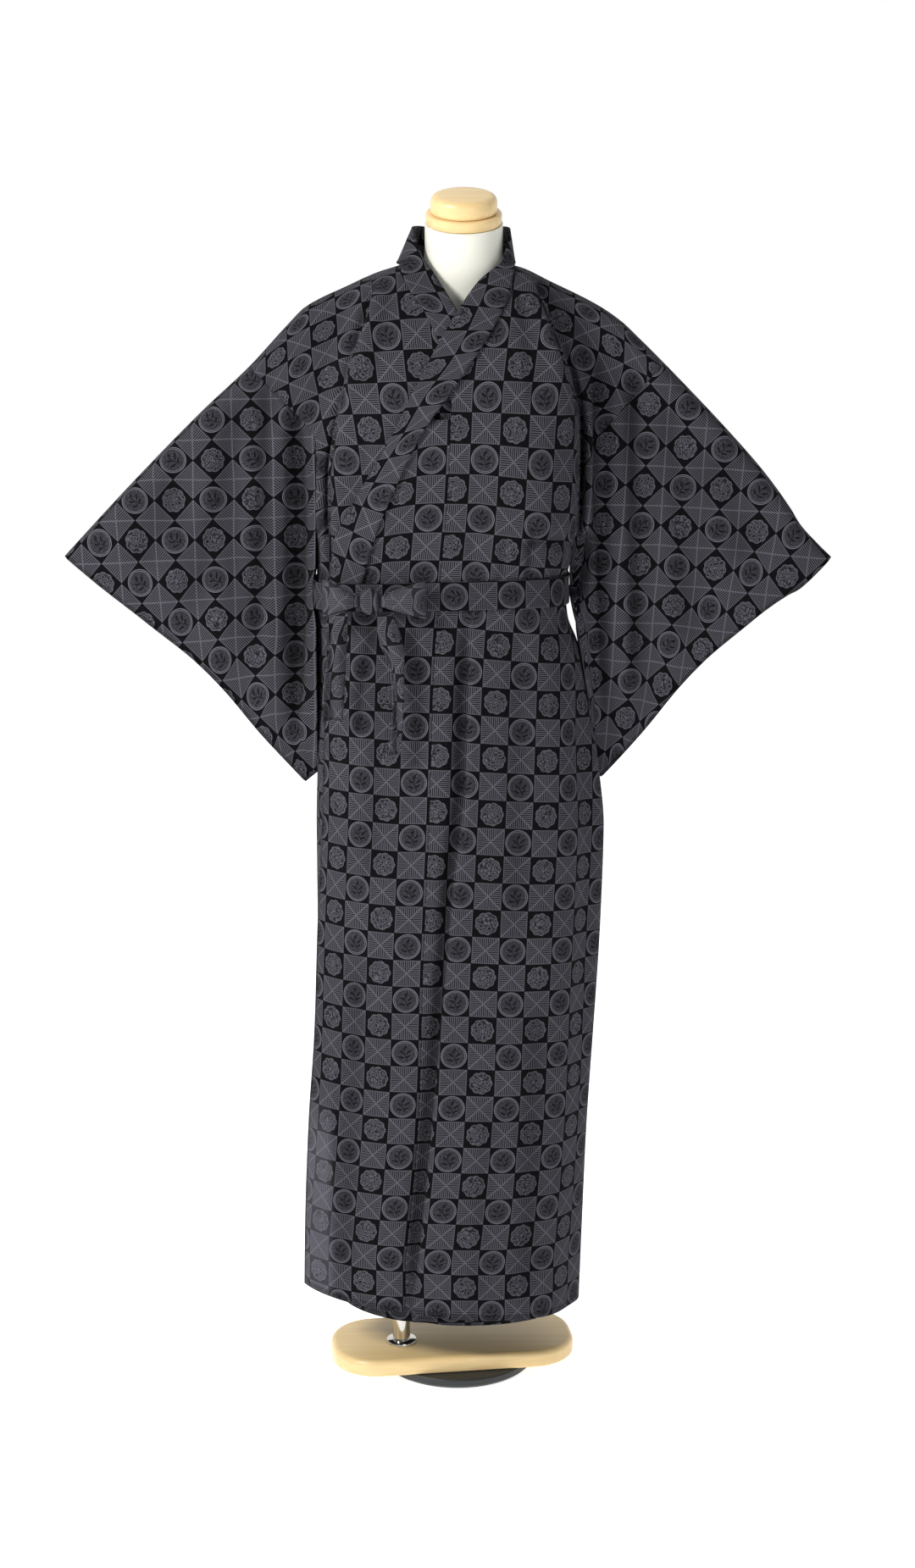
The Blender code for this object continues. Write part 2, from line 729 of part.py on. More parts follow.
def sleeve(name, side, finish):
    """A sleeve: one length folded at its top edge, closed below and at the foot of the cuff."""
    outline = SLEEVES[side]
    shoulder, tip = np.array(outline.shoulder), np.array(outline.tip)
    foot, armhole = np.array(outline.foot), np.array(outline.armhole)
    length = np.linalg.norm(foot - tip)
    bend = np.linalg.norm(armhole - shoulder) / length
    down = (foot - tip) / length
    inwards = np.array((-down[1], down[0])) * side
    low_z = 0.850

    def inner(v):
        if v <= bend:
            point = blend(shoulder, armhole, v / bend)
            return point + np.array((side * 3.3 * SEAM, 0.0))
        z = blend(armhole[1], low_z, (v - bend) / (1 - bend))
        return np.array((path_x(SLEEVE_INNER[side], z), z))

    def surface(v, u):
        """V runs from 0 at the top edge down the front to 1 and up the back to 2, U from the body to the cuff."""
        depth = v if v <= 1 else 2 - v
        hollow, opening = (smooth(CUFF, column, depth) for column in (1, 2))
        cuff = blend(tip, foot, depth) + inwards * hollow * -1
        x, z = blend(inner(depth), cuff, u)
        straight = blend(shoulder[1], tip[1], (x - shoulder[0]) / (tip[0] - shoulder[0]))
        reach = min(max((x - shoulder[0]) / (tip[0] - shoulder[0]), 0.0), 1.0)
        if 0 < reach < 1:
            z += (top_z(x) - straight) * (1 - depth) ** 2
        y = front_y(x, z) if v <= 1 else back_y(x, z)
        middle = 0.001
        from_foot = (1 - depth) * length
        y = blend(middle, y, roll(from_foot / 0.030))
        from_cuff = (1 - u) * np.linalg.norm(cuff - inner(depth))
        at_cuff = middle + opening / 2 * (-1 if v <= 1 else 1)
        y = blend(at_cuff, y, ease(-0.02, 0.110, from_cuff))
        if v in (0, 2):
            y = TOP_Y
        elif v == 1:
            y = middle
        else:
            least = 0.0020 if 0.02 < depth < 0.98 else 0.0016
            centre = blend(TOP_Y, middle, min(depth * 4, 1))
            y = min(y, centre - least) if v < 1 else max(y, centre + least)
        return np.array((x, y, z))

    down_front = [0.0, 0.012, 0.045, 0.13, 0.24, bend, 0.40, 0.52, 0.64, 0.76, 0.88, 0.965, 0.992, 1.0]
    ring = down_front + [2 - v for v in reversed(down_front[1:-1])]
    across = [0.0, 0.05, 0.12, 0.22, 0.36, 0.52, 0.68, 0.84, 0.94, 1.0]
    return sheet(name, surface, ring, across, finish, flip=side > 0, closed=True)


UPPER_OUT = (LAP + 0.0018 + COLLAR_WALL, 0.0044 + COLLAR_WALL)  # at the seam edge, at the free edge
LOWER_OUT = 0.0009 + COLLAR_WALL


def collar(finish):
    """The long collar band, from under the sash at the wearer's right, round the neck and down inside."""
    last = len(COLLAR) - 1

    def outs(station):
        weight = ease(COLLAR_CROSSING, 2 * COLLAR_CROSSING, station)
        return [blend(upper, LOWER_OUT, weight) for upper in UPPER_OUT]

    def filled(i, row):
        seam_out, free_out = outs(i)
        seam_y = front_y(row.seam_x, row.seam_z, seam_out) if row.seam_y is None else row.seam_y
        free_y = front_y(row.free_x, row.free_z, free_out) if row.free_y is None else row.free_y
        return (i, row.seam_x, seam_y, row.seam_z, row.free_x, free_y, row.free_z)

    rows = [filled(i, row) for i, row in enumerate(COLLAR)]
    lying = [(i, 1.0 if row.seam_y is None else 0.0) for i, row in enumerate(COLLAR)]

    def surface(u, station):
        values = [smooth(rows, column, station) for column in range(1, 7)]
        seam, free = np.array(values[:3]), np.array(values[3:])
        point = blend(seam, free, u)
        flat = smooth(lying, 1, station)
        seam_out, free_out = outs(station)
        out = blend(seam_out, free_out, u)
        if flat > 0:
            point[1] = blend(point[1], front_y(point[0], point[2], out), ease(0.0, 1.0, flat))
        return point

    return sheet("collar", surface, [0, 0.33, 0.67, 1.0], spread(0, last, 2 * last + 1), finish, COLLAR_WALL)


# --- The sash -------------------------------------------------------------------------
class SashRow(NamedTuple):
    """The sash at a turn from the wearer's left side: how far out of the robe, and its two edges."""

    degrees: float
    out: float
    low: float
    high: float


SASH = (
    SashRow(0, 0.0044, 1.0795, 1.1165),
    SashRow(30, 0.0072, 1.0800, 1.1180),
    SashRow(40, 0.0098, 1.0810, 1.1185),
    SashRow(60, 0.0116, 1.0825, 1.1192),
    SashRow(90, 0.0105, 1.0812, 1.1180),
    SashRow(115, 0.0145, 1.0790, 1.1150),
    SashRow(148, 0.0125, 1.0760, 1.1120),
    SashRow(160, 0.0095, 1.0750, 1.1110),
    SashRow(172, 0.0048, 1.0745, 1.1110),
    SashRow(185, 0.0036, 1.0745, 1.1110),
    SashRow(225, 0.0034, 1.0780, 1.1150),
    SashRow(270, 0.0034, 1.0800, 1.1180),
    SashRow(315, 0.0042, 1.0800, 1.1175),
    SashRow(360, 0.0044, 1.0795, 1.1165),
)


def sash_band(finish):
    def surface(degrees, v):
        out, low, high = (smooth(SASH, column, degrees) for column in (1, 2, 3))
        z = blend(low, high, v)
        level = blend(low, high, 0.5)
        point = tube(math.radians(degrees), level, out)
        point[2] = z
        return point

    degrees = [i * 7.5 for i in range(48)]
    return sheet("sash_band", surface, degrees, spread(0, 1, 3), finish, SASH_WALL, closed=True)


class LoopRow(NamedTuple):
    """A bow loop between the knot and its far end: centre, height of the band and depth of the loop."""

    x: float
    y: float
    z: float
    height: float
    depth: float


LOOPS = {
    "sash_loop_right": (
        LoopRow(-0.1130, -0.1245, 1.0960, 0.0140, 0.0090),
        LoopRow(-0.1270, -0.1240, 1.0970, 0.0230, 0.0150),
        LoopRow(-0.1430, -0.1190, 1.0960, 0.0300, 0.0170),
        LoopRow(-0.1580, -0.1080, 1.0930, 0.0340, 0.0120),
    ),
    "sash_loop_left": (
        LoopRow(-0.0840, -0.1275, 1.0960, 0.0140, 0.0090),
        LoopRow(-0.0680, -0.1300, 1.0965, 0.0220, 0.0140),
        LoopRow(-0.0470, -0.1305, 1.0970, 0.0320, 0.0150),
        LoopRow(-0.0270, -0.1290, 1.0965, 0.0390, 0.0100),
    ),
}


def sash_loop(name, finish):
    """A bow loop: the band runs out from the knot, turns and comes back behind itself."""
    rows = [(i, *row) for i, row in enumerate(LOOPS[name])]
    outwards = 1 if rows[-1][1] > rows[0][1] else -1
    last = rows[-1][0]

    def surface(share, v):
        """Share runs 0 to 1 out along the front, then back to 2 behind."""
        reach = share if share <= 1 else 2 - share
        x, y, z, height, depth = (smooth(rows, column, reach * last) for column in range(1, 6))
        half = depth / 2 * math.sqrt(max(1 - reach**6, 0.0))
        offset = -half if share < 1 else half
        end = 1.0 if reach == 1 else 0.0
        bulge = 0.002 * math.sin(v * math.pi) * (1 - end)
        side = -1 if share < 1 else 1
        return np.array((x, y + offset + side * bulge, z + (v - 0.5) * height))

    front = [0.0, 0.25, 0.5, 0.75, 0.92, 1.0]
    ring = front + [2 - share for share in reversed(front[:-1])]
    return sheet(name, surface, ring, spread(0, 1, 4), finish, SASH_WALL, flip=outwards < 0)


class TailRow(NamedTuple):
    """A level of a hanging sash end: its centre, width and how far it is turned."""

    z: float
    x: float
    y: float
    width: float
    twist: float


TAILS = {
    "sash_tail_right": (
        TailRow(1.0800, -0.1330, -0.1290, 0.0150, -15),
        TailRow(1.0500, -0.1390, -0.1260, 0.0200, 10),
        TailRow(1.0180, -0.1430, -0.1220, 0.0240, 20),
        TailRow(0.9770, -0.1470, -0.1190, 0.0280, 20),
        TailRow(0.9400, -0.1480, -0.1170, 0.0270, 20),
    ),
    "sash_tail_left": (
        TailRow(1.0780, -0.0800, -0.1330, 0.0190, 10),
        TailRow(1.0450, -0.0730, -0.1340, 0.0290, 5),
        TailRow(1.0080, -0.0650, -0.1330, 0.0190, -25),
        TailRow(0.9600, -0.0640, -0.1340, 0.0150, -10),
        TailRow(0.8990, -0.0680, -0.1350, 0.0180, 5),
    ),
}


def sash_tail(name, finish):
    rows = tuple(reversed(TAILS[name]))

    def surface(u, z):
        x, y, width, twist = (smooth(rows, column, z) for column in (1, 2, 3, 4))
        across = (u - 0.5) * width
        turn = math.radians(twist)
        return np.array((x + across * math.cos(turn), y + across * math.sin(turn), z))

    heights = spread(rows[0].z, rows[-1].z, 9)
    return sheet(name, surface, [0, 0.33, 0.67, 1.0], heights, finish, 0.0026, flip=True)


def sash_knot(finish):
    """The tight knot: a squat body of wrapped cloth, wider than it is tall."""
    centre = np.array((-0.0985, -0.1290, 1.0950))
    half = (0.0125, 0.0085, 0.0170)
    rings = []
    for level in (-1, -0.72, -0.3, 0.3, 0.72, 1):
        girth = (1 - abs(level) ** 3 * 0.45)
        ring = []
        for i in range(12):
            turn = math.radians(30 * i)
            x = half[0] * girth * math.copysign(abs(math.cos(turn)) ** 0.8, math.cos(turn))
            y = half[1] * girth * math.copysign(abs(math.sin(turn)) ** 0.8, math.sin(turn))
            ring.append(centre + np.array((x, y, half[2] * level)))
        rings.append(ring)
    return stack("sash_knot", rings, finish)


# --- The dress form and its foot --------------------------------------------------------
class FormRing(NamedTuple):
    """A level of the dress form."""

    z: float
    x: float
    y: float
    half_width: float
    half_depth: float
    squareness: float


FORM = (
    FormRing(0.8000, 0.0110, 0.005, 0.1390, 0.098, 2.2),
    FormRing(0.8060, 0.0110, 0.005, 0.1460, 0.104, 2.2),
    FormRing(0.8300, 0.0110, 0.005, 0.1550, 0.110, 2.2),
    FormRing(0.9000, 0.0110, 0.005, 0.1580, 0.113, 2.2),
    FormRing(0.9600, 0.0100, 0.004, 0.1530, 0.108, 2.2),
    FormRing(1.0300, 0.0080, 0.000, 0.1440, 0.098, 2.2),
    FormRing(1.1000, 0.0060, -0.002, 0.1380, 0.094, 2.2),
    FormRing(1.1800, 0.0070, -0.002, 0.1420, 0.100, 2.3),
    FormRing(1.2600, 0.0105, -0.002, 0.1460, 0.105, 2.3),
    FormRing(1.3300, 0.0110, -0.001, 0.1460, 0.100, 2.3),
    FormRing(1.3900, 0.0120, 0.001, 0.1450, 0.084, 2.3),
    FormRing(1.4250, 0.0130, 0.003, 0.1390, 0.066, 2.2),
    FormRing(1.4500, 0.0150, 0.003, 0.1220, 0.054, 2.1),
    FormRing(1.4680, 0.0170, 0.003, 0.0960, 0.049, 2.0),
    FormRing(1.4820, 0.0190, 0.002, 0.0740, 0.047, 2.0),
    FormRing(1.4980, 0.0200, 0.001, 0.0580, 0.047, 2.0),
    FormRing(1.5150, 0.0205, 0.000, 0.0515, 0.048, 2.0),
    FormRing(1.5400, 0.0205, -0.001, 0.0500, 0.0490, 2.0),
    FormRing(1.5640, 0.0205, -0.002, 0.0500, 0.0490, 2.0),
)
CAP_TILT = math.radians(18)  # the neck cap leans to the front
POLE_X, POLE_Y, POLE_RADIUS = -0.066, -0.020, 0.0123
DISC_TOP, BOARD_TOP = 0.0130, 0.0360


def oval(z, x, y, half_width, half_depth, squareness, count, tilt=0.0, height=0.0):
    """A ring of points, tilted to the front about its middle and raised along its tilted axis."""
    ring = []
    for i in range(count):
        turn = 2 * math.pi * i / count
        cos, sin = math.cos(turn), math.sin(turn)
        across = half_width * math.copysign(abs(cos) ** (2 / squareness), cos)
        deep = half_depth * math.copysign(abs(sin) ** (2 / squareness), sin)
        ring.append((
            x + across,
            y + deep * math.cos(tilt) - height * math.sin(tilt),
            z + deep * math.sin(tilt) + height * math.cos(tilt),
        ))
    return ring


def form_torso(finish):
    """The body of the form: smooth, hip-length, with a neck and no arms."""
    rings = [oval(*row, 32) for row in FORM[:-1]]
    rings.append(oval(*FORM[-1], 32, CAP_TILT))
    return stack("form_torso", rings, finish)


def turned(name, profile, x, y, finish, count=32):
    """An upright solid of round rings. The profile's rows are (height, radius)."""
    rings = [oval(z, x, y, radius, radius, 2.0, count) for z, radius in profile]
    return stack(name, rings, finish)


def neck_cap(finish):
    """Two turned discs of wood on the neck, leaning with it."""
    base = FORM[-1]
    lower = ((0.0003, 0.0465), (0.0020, 0.0485), (0.0110, 0.0490), (0.0140, 0.0470))
    upper = ((0.0143, 0.0405), (0.0165, 0.0425), (0.0290, 0.0425), (0.0345, 0.0395), (0.0370, 0.0330))
    for name, profile in (("neck_cap_lower", lower), ("neck_cap_upper", upper)):
        rings = [
            oval(base.z, base.x, base.y, radius, radius, 2.0, 32, CAP_TILT, height) for height, radius in profile
        ]
        stack(name, rings, finish)


def board_outline(z, inset):
    """The base board from above: straight front and back, large round ends, turned a little."""
    half_length, half_depth, turn = 0.170 - inset, 0.0735 - inset, math.radians(8)
    corner = 0.062 - inset
    ring = []
    for sx, sy, start in ((1, 1, 0), (-1, 1, 90), (-1, -1, 180), (1, -1, 270)):
        for i in range(6):
            angle = math.radians(start + 18 * i)
            x = sx * (half_length - corner) + corner * math.cos(angle)
            y = sy * (half_depth - corner) + corner * math.sin(angle)
            ring.append((
                0.005 + x * math.cos(turn) - y * math.sin(turn),
                0.002 + x * math.sin(turn) + y * math.cos(turn),
                z,
            ))
    return ring


def foot(wood, black, chrome):
    """The black disc on the floor, the wooden board on it, and the pole with its flange."""
    turned("foot_disc", ((0.0, 0.106), (0.004, 0.110), (DISC_TOP, 0.110)), 0.012, 0.014, black, 48)
    low = DISC_TOP + SEAM
    steps = ((low, 0.0015), (low + 0.0015, 0.0), (BOARD_TOP - 0.007, 0.0), (BOARD_TOP - 0.002, 0.004))
    rings = [board_outline(z, inset) for z, inset in (*steps, (BOARD_TOP, 0.009))]
    stack("base_board", rings, wood)
    flange = ((BOARD_TOP + SEAM, 0.0210), (BOARD_TOP + 0.0030, 0.0210), (BOARD_TOP + 0.0040, 0.0195))
    turned("pole_flange", flange, POLE_X, POLE_Y, chrome)
    pole = ((BOARD_TOP + 0.0043, POLE_RADIUS), (FORM[0].z - SEAM, POLE_RADIUS))
    turned("pole", pole, POLE_X, POLE_Y, chrome, 24)


def main():
    for old in list(bpy.data.objects):
        bpy.data.objects.remove(old)
    cotton = material("printed_cotton", (0.045, 0.045, 0.055), 0.85)
    ivory = material("form_cover", (0.83, 0.82, 0.75), 0.6)
    wood = material("light_wood", (0.66, 0.44, 0.22), 0.45)
    chrome = material("chrome", (0.8, 0.8, 0.8), 0.12, 1.0)
    black = material("black_steel", (0.02, 0.022, 0.024), 0.5)

    body_panel("body_left", 1, cotton)
    body_panel("body_right", -1, cotton)
    okumi_left(cotton)
    okumi_right(cotton)
    sleeve("sleeve_left", 1, cotton)
    sleeve("sleeve_right", -1, cotton)
    collar(cotton)
    sash_band(cotton)
    for name in LOOPS:
        sash_loop(name, cotton)
    for name in TAILS:
        sash_tail(name, cotton)
    sash_knot(cotton)
    form_torso(ivory)
    neck_cap(wood)
    foot(wood, black, chrome)


if __name__ == "__main__":
    main()
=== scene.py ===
"""Looks of a cotton yukata robe with its sash, on a limbless dress form.

Metres, +Z up. The wearer faces -Y and the wearer's left is at +X. Every piece of cloth is
a fine sheet laid on the form of its solid in the frame, with its creases moved in or out
of that form, and an UV map that holds the cloth's own flat coordinates in metres.
"""

import logging
import math
from dataclasses import dataclass
from enum import Enum
from typing import Callable, NamedTuple, Optional, Sequence

import bmesh
import bpy
import numpy as np
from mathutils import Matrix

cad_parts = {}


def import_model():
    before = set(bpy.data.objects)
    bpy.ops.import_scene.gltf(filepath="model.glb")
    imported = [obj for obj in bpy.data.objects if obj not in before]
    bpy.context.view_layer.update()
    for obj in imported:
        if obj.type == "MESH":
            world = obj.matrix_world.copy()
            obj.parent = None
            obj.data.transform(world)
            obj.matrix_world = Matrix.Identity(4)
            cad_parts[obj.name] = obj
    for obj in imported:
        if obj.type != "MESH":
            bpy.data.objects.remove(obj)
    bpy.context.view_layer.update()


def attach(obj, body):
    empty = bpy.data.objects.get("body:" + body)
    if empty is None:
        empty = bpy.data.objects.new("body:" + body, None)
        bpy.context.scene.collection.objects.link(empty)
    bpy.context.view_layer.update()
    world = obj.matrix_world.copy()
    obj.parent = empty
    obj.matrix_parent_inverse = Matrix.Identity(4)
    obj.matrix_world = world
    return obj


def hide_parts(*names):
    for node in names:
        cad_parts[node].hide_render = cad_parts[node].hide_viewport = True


LOG = logging.getLogger("yukata")
Point = np.ndarray
Rows = Sequence[tuple]

# --- Driving sizes, as in the frame ---
CLOTH = 0.0010  # thickness of the cotton
COLLAR_CLOTH = 0.0020  # the collar is folded double
SASH_CLOTH = 0.0018  # and so is the sash
CLOTH_WALL = 0.0014  # walls of the solids, whose outer faces the fine cloth keeps
COLLAR_WALL = 0.0022
SASH_WALL = 0.0020
TAIL_WALL = 0.0026
REST_GAP = 0.0003  # between the parts of the stand
MIDDLE = 0.0105  # x of the robe's middle
LAP = 0.0068  # how far the left front lies outside the right one
LOWEST_CUT = 0.10  # lines on the skirt are read no lower than this
SETTLED_Z = 0.60  # below it the rows lean towards the hem's line
ARMPIT_Z = 1.123  # above it the panels leave the level cuts
CHEST_Z = 1.190  # and here they have left them
SPREAD_Z = 1.200  # above it the rows spread out towards the top line
COLLAR_UNDERLAP = 0.008  # how far the fronts run under the collar
TOP_Y = 0.002  # y of the top line
SQUARE = 0.0365  # one square of the printed check
RING_V = 0.639  # height of a row of ring roundels on both fronts
TOP_V = 1.545  # lengthwise print coordinate at the shoulder
BLOUSE = 0.0227  # cloth taken up just above the sash
BLOUSE_RISE = (1.09, 1.12)  # heights between which it is taken up
HEM_BAND = 0.0085  # from a hem to its stitching
EDGE_BAND = 0.0050  # from a free edge to its stitching
HEM_REACH = 3.0  # the hem attribute's highest value, well inside the cloth
PAINTED_SHADE_DEPTH = 0.0055  # a trough this deep gets the full painted shade in its colour


class Face(Enum):
    """Which side of the robe a crease is on."""

    FRONT = "front"
    BACK = "back"


# --- Tables ---
# z, left, free edge, right, front, back, squareness
SECTIONS = (
    (0.08, -0.15, -0.1995, 0.1805, 0.118, 0.122, 2.1),
    (0.23, -0.1586, -0.1961, 0.185, 0.12, 0.126, 2.1),
    (0.37, -0.165, -0.1896, 0.1895, 0.121, 0.129, 2.1),
    (0.5, -0.17, -0.18, 0.1948, 0.122, 0.132, 2.1),
    (0.65, -0.1759, -0.1738, 0.2022, 0.122, 0.135, 2.1),
    (0.78, -0.1758, -0.1665, 0.2052, 0.121, 0.137, 2.1),
    (0.85, -0.1738, -0.164, 0.1985, 0.12, 0.136, 2.1),
    (0.95, -0.171, -0.16, 0.184, 0.114, 0.126, 2.2),
    (1.02, -0.1705, -0.1565, 0.1715, 0.108, 0.112, 2.3),
    (1.06, -0.1705, -0.156, 0.1565, 0.105, 0.102, 2.4),
    (1.1, -0.171, -0.156, 0.153, 0.104, 0.098, 2.5),
    (1.14, -0.1705, -0.156, 0.161, 0.107, 0.1, 2.6),
    (1.2, -0.1695, -0.156, 0.17, 0.113, 0.107, 2.8),
    (1.3, -0.168, -0.156, 0.172, 0.117, 0.112, 2.8),
    (1.56, -0.168, -0.156, 0.172, 0.117, 0.112, 2.8),
)
# x, z along the shoulders and the tops of the sleeves
TOP_LINE = (
    (-0.5035, 1.1365), (-0.4083, 1.2364), (-0.3177, 1.3262), (-0.255, 1.3836), (-0.206, 1.4353),
    (-0.1816, 1.4589), (-0.129, 1.4845), (-0.0799, 1.5047), (-0.03, 1.516), (0.04, 1.518),
    (0.0918, 1.508), (0.1293, 1.491), (0.1912, 1.461), (0.2234, 1.4395), (0.2432, 1.4213),
    (0.2843, 1.3815), (0.3755, 1.288), (0.4145, 1.244), (0.4477, 1.1998), (0.4618, 1.1778),
    (0.4825, 1.1555), (0.5035, 1.1354),
)
# z, x, depth of the valley, depth of the strip beyond it, for the fold beside each armhole
FOLDS = {
    -1: (
        (1.08, -0.1512, -0.06, -0.052),
        (1.18, -0.1515, -0.052, -0.05),
        (1.25, -0.1503, -0.05, -0.049),
        (1.3245, -0.1385, -0.06, -0.052),
        (1.388, -0.122, -0.064, -0.056),
        (1.472, -0.0954, -0.06, -0.058),
        (1.52, -0.0954, -0.06, -0.058),
    ),
    1: (
        (1.08, 0.1505, -0.004, -0.03),
        (1.18, 0.1668, -0.004, -0.032),
        (1.25, 0.168, -0.004, -0.036),
        (1.3127, 0.1672, -0.012, -0.04),
        (1.373, 0.1535, -0.036, -0.044),
        (1.46, 0.123, -0.058, -0.052),
        (1.492, 0.1095, -0.06, -0.056),
        (1.52, 0.1095, -0.06, -0.056),
    ),
}
# Lines on a front, each z, x
OKUMI_SEAM_LEFT = (
    (0.08, -0.061), (0.1588, -0.054), (0.36, -0.0407), (0.6315, -0.032), (0.8162, -0.0237),
    (0.9942, -0.0179), (1.1184, -0.009), (1.2213, -0.0003), (1.356, 0.006),
)
UPPER_COLLAR_SEAM = (
    (1.08, -0.12), (1.1236, -0.1062), (1.1668, -0.094), (1.2279, -0.0689), (1.2927, -0.0397),
    (1.356, 0.0051), (1.4048, 0.039), (1.4492, 0.0657), (1.4752, 0.079), (1.5035, 0.0836),
    (1.53, 0.084),
)
LOWER_COLLAR_SEAM = (
    (1.08, 0.108), (1.2, 0.08), (1.3, 0.045), (1.39, 0.004), (1.4368, -0.0226), (1.4607, -0.0333),
    (1.4804, -0.0473), (1.5056, -0.0606), (1.53, -0.062),
)
OKUMI_SEAM_RIGHT = ((0.08, 0.03), (1.1, 0.034), (1.29, 0.044))
UNDER_EDGE = ((0.08, 0.118), (0.6, 0.138), (1.0, 0.126), (1.08, 0.116))
EDGE_TURN = ((0.08, 160.0), (0.65, 160.0), (0.85, 157.0), (1.02, 152.0), (1.1, 148.0), (1.3, 148.0))
# shoulder, tip, foot and the armhole's bend of each sleeve, seen from the front
SLEEVES = {
    -1: ((-0.255, 1.3836), (-0.5035, 1.1365), (-0.1922, 0.8357), (-0.169, 1.296)),
    1: ((0.2775, 1.3881), (0.5035, 1.1354), (0.2058, 0.8415), (0.19, 1.29)),
}
SLEEVE_INNER = {
    -1: (
        (0.85, -0.1744), (0.95, -0.1717), (1.055, -0.1714), (1.07, -0.174), (1.078, -0.1758),
        (1.11, -0.1758), (1.118, -0.1738), (1.13, -0.1714), (1.24, -0.1702), (1.296, -0.17),
    ),
    1: (
        (0.85, 0.1993), (0.95, 0.1848), (1.02, 0.1728), (1.06, 0.1668), (1.078, 0.1615),
        (1.12, 0.16), (1.16, 0.1652), (1.24, 0.1722), (1.29, 0.191),
    ),
}
SLEEVE_LOW_Z = 0.85
SLEEVE_RINGS = (0.0, 0.012, 0.045, 0.13, 0.24, 0.4, 0.52, 0.64, 0.76, 0.88, 0.965, 0.992, 1.0)
# along the cuff, how far it runs in from a straight line, how open it is
CUFF = (
    (0.0, 0.0, 0.006), (0.12, 0.002, 0.014), (0.32, 0.01, 0.02), (0.52, 0.017, 0.012),
    (0.62, 0.015, 0.0042), (0.8, 0.006, 0.004), (1.0, 0.0, 0.004),
)
# seam edge x, y, z and free edge x, y, z along the collar; None lies on the front
COLLAR = (
    (-0.1165, None, 1.085, -0.154, None, 1.099),
    (-0.1062, None, 1.1236, -0.149, None, 1.142),
    (-0.089, None, 1.18, -0.129, None, 1.198),
    (-0.06, None, 1.248, -0.101, None, 1.248),
    (-0.03, None, 1.307, -0.074, None, 1.293),
    (0.0051, None, 1.356, -0.044, None, 1.354),
    (0.039, None, 1.4048, -0.0214, None, 1.3965),
    (0.0657, None, 1.4492, 0.0125, None, 1.454),
    (0.08, None, 1.482, 0.038, None, 1.489),
    (0.0852, -0.022, 1.514, 0.07, -0.032, 1.52),
    (0.085, 0.008, 1.5135, 0.078, -0.002, 1.556),
    (0.066, 0.042, 1.5085, 0.068, 0.044, 1.561),
    (0.012, 0.0645, 1.494, 0.017, 0.064, 1.554),
    (-0.044, 0.042, 1.5085, -0.033, 0.044, 1.561),
    (-0.064, 0.008, 1.513, -0.044, 0.002, 1.558),
    (-0.063, -0.024, 1.515, -0.0335, -0.03, 1.525),
    (-0.051, -0.066, 1.485, -0.013, None, 1.494),
    (-0.0333, None, 1.4607, 0.0115, None, 1.456),
    (-0.004, None, 1.405, 0.047, None, 1.399),
    (0.04, None, 1.322, 0.082, None, 1.333),
    (0.07, None, 1.215, 0.1, None, 1.233),
    (0.082, None, 1.14, 0.104, None, 1.15),
)
COLLAR_CROSSING = 8
# degrees, out of the robe, lower edge, upper edge
SASH = (
    (0, 0.0044, 1.0795, 1.1165),
    (30, 0.0072, 1.08, 1.118),
    (40, 0.0098, 1.081, 1.1185),
    (60, 0.0116, 1.0825, 1.1192),
    (90, 0.0105, 1.0812, 1.118),
    (115, 0.0145, 1.079, 1.115),
    (148, 0.0125, 1.076, 1.112),
    (160, 0.0095, 1.075, 1.111),
    (172, 0.0048, 1.0745, 1.111),
    (185, 0.0036, 1.0745, 1.111),
    (225, 0.0034, 1.078, 1.115),
    (270, 0.0034, 1.08, 1.118),
    (315, 0.0042, 1.08, 1.1175),
    (360, 0.0044, 1.0795, 1.1165),
)
# x, y, z, height, depth from the knot to the loop's end
LOOPS = {
    "sash_loop_right": (
        (-0.113, -0.1265, 1.095, 0.012, 0.009),
        (-0.127, -0.1275, 1.097, 0.023, 0.016),
        (-0.143, -0.1235, 1.0985, 0.034, 0.018),
        (-0.159, -0.1125, 1.096, 0.041, 0.013),
    ),
    "sash_loop_left": (
        (-0.084, -0.1295, 1.095, 0.012, 0.009),
        (-0.068, -0.133, 1.096, 0.023, 0.015),
        (-0.047, -0.134, 1.097, 0.034, 0.016),
        (-0.027, -0.1325, 1.0955, 0.042, 0.011),
    ),
}
# z, x, y, width, turn in degrees
TAILS = {
    "sash_tail_right": (
        (1.08, -0.133, -0.129, 0.015, -15),
        (1.05, -0.139, -0.126, 0.02, 10),
        (1.018, -0.143, -0.122, 0.024, 20),
        (0.977, -0.147, -0.119, 0.028, 20),
        (0.94, -0.148, -0.117, 0.027, 20),
    ),
    "sash_tail_left": (
        (1.078, -0.08, -0.133, 0.019, 10),
        (1.045, -0.073, -0.134, 0.029, 5),
        (1.008, -0.065, -0.133, 0.019, -25),
        (0.96, -0.064, -0.134, 0.015, -10),
        (0.899, -0.068, -0.135, 0.018, 5),
    ),
}
# which way a sleeve's face looks, its y, where a fold's crest is and half its length
ARM_FOLDS = {Face.FRONT: (-1, -0.022, 0.205, 0.034), Face.BACK: (1, 0.024, 0.225, 0.04)}
# turn from the wearer's left in degrees, width, depth, lowest and highest z of the skirt's folds
SKIRT_FOLDS = (
    (104.0, 6.5, -0.0045, 0.0, 1.02),
    (28.0, 9.0, -0.006, 0.4, 1.02),
    (12.0, 7.0, 0.005, 0.3, 1.0),
    (-35.0, 9.0, -0.0055, 0.0, 1.0),
    (-64.0, 8.0, 0.0045, 0.0, 0.98),
    (-112.0, 9.0, -0.0055, 0.0, 1.0),
    (-148.0, 8.0, 0.0045, 0.0, 0.96),
)


class Crease(NamedTuple):
    """A trough (depth below 0) or ridge along a line of x, z places, wider on one side than the other."""

    line: tuple
    left_width: float
    right_width: float
    depth: float


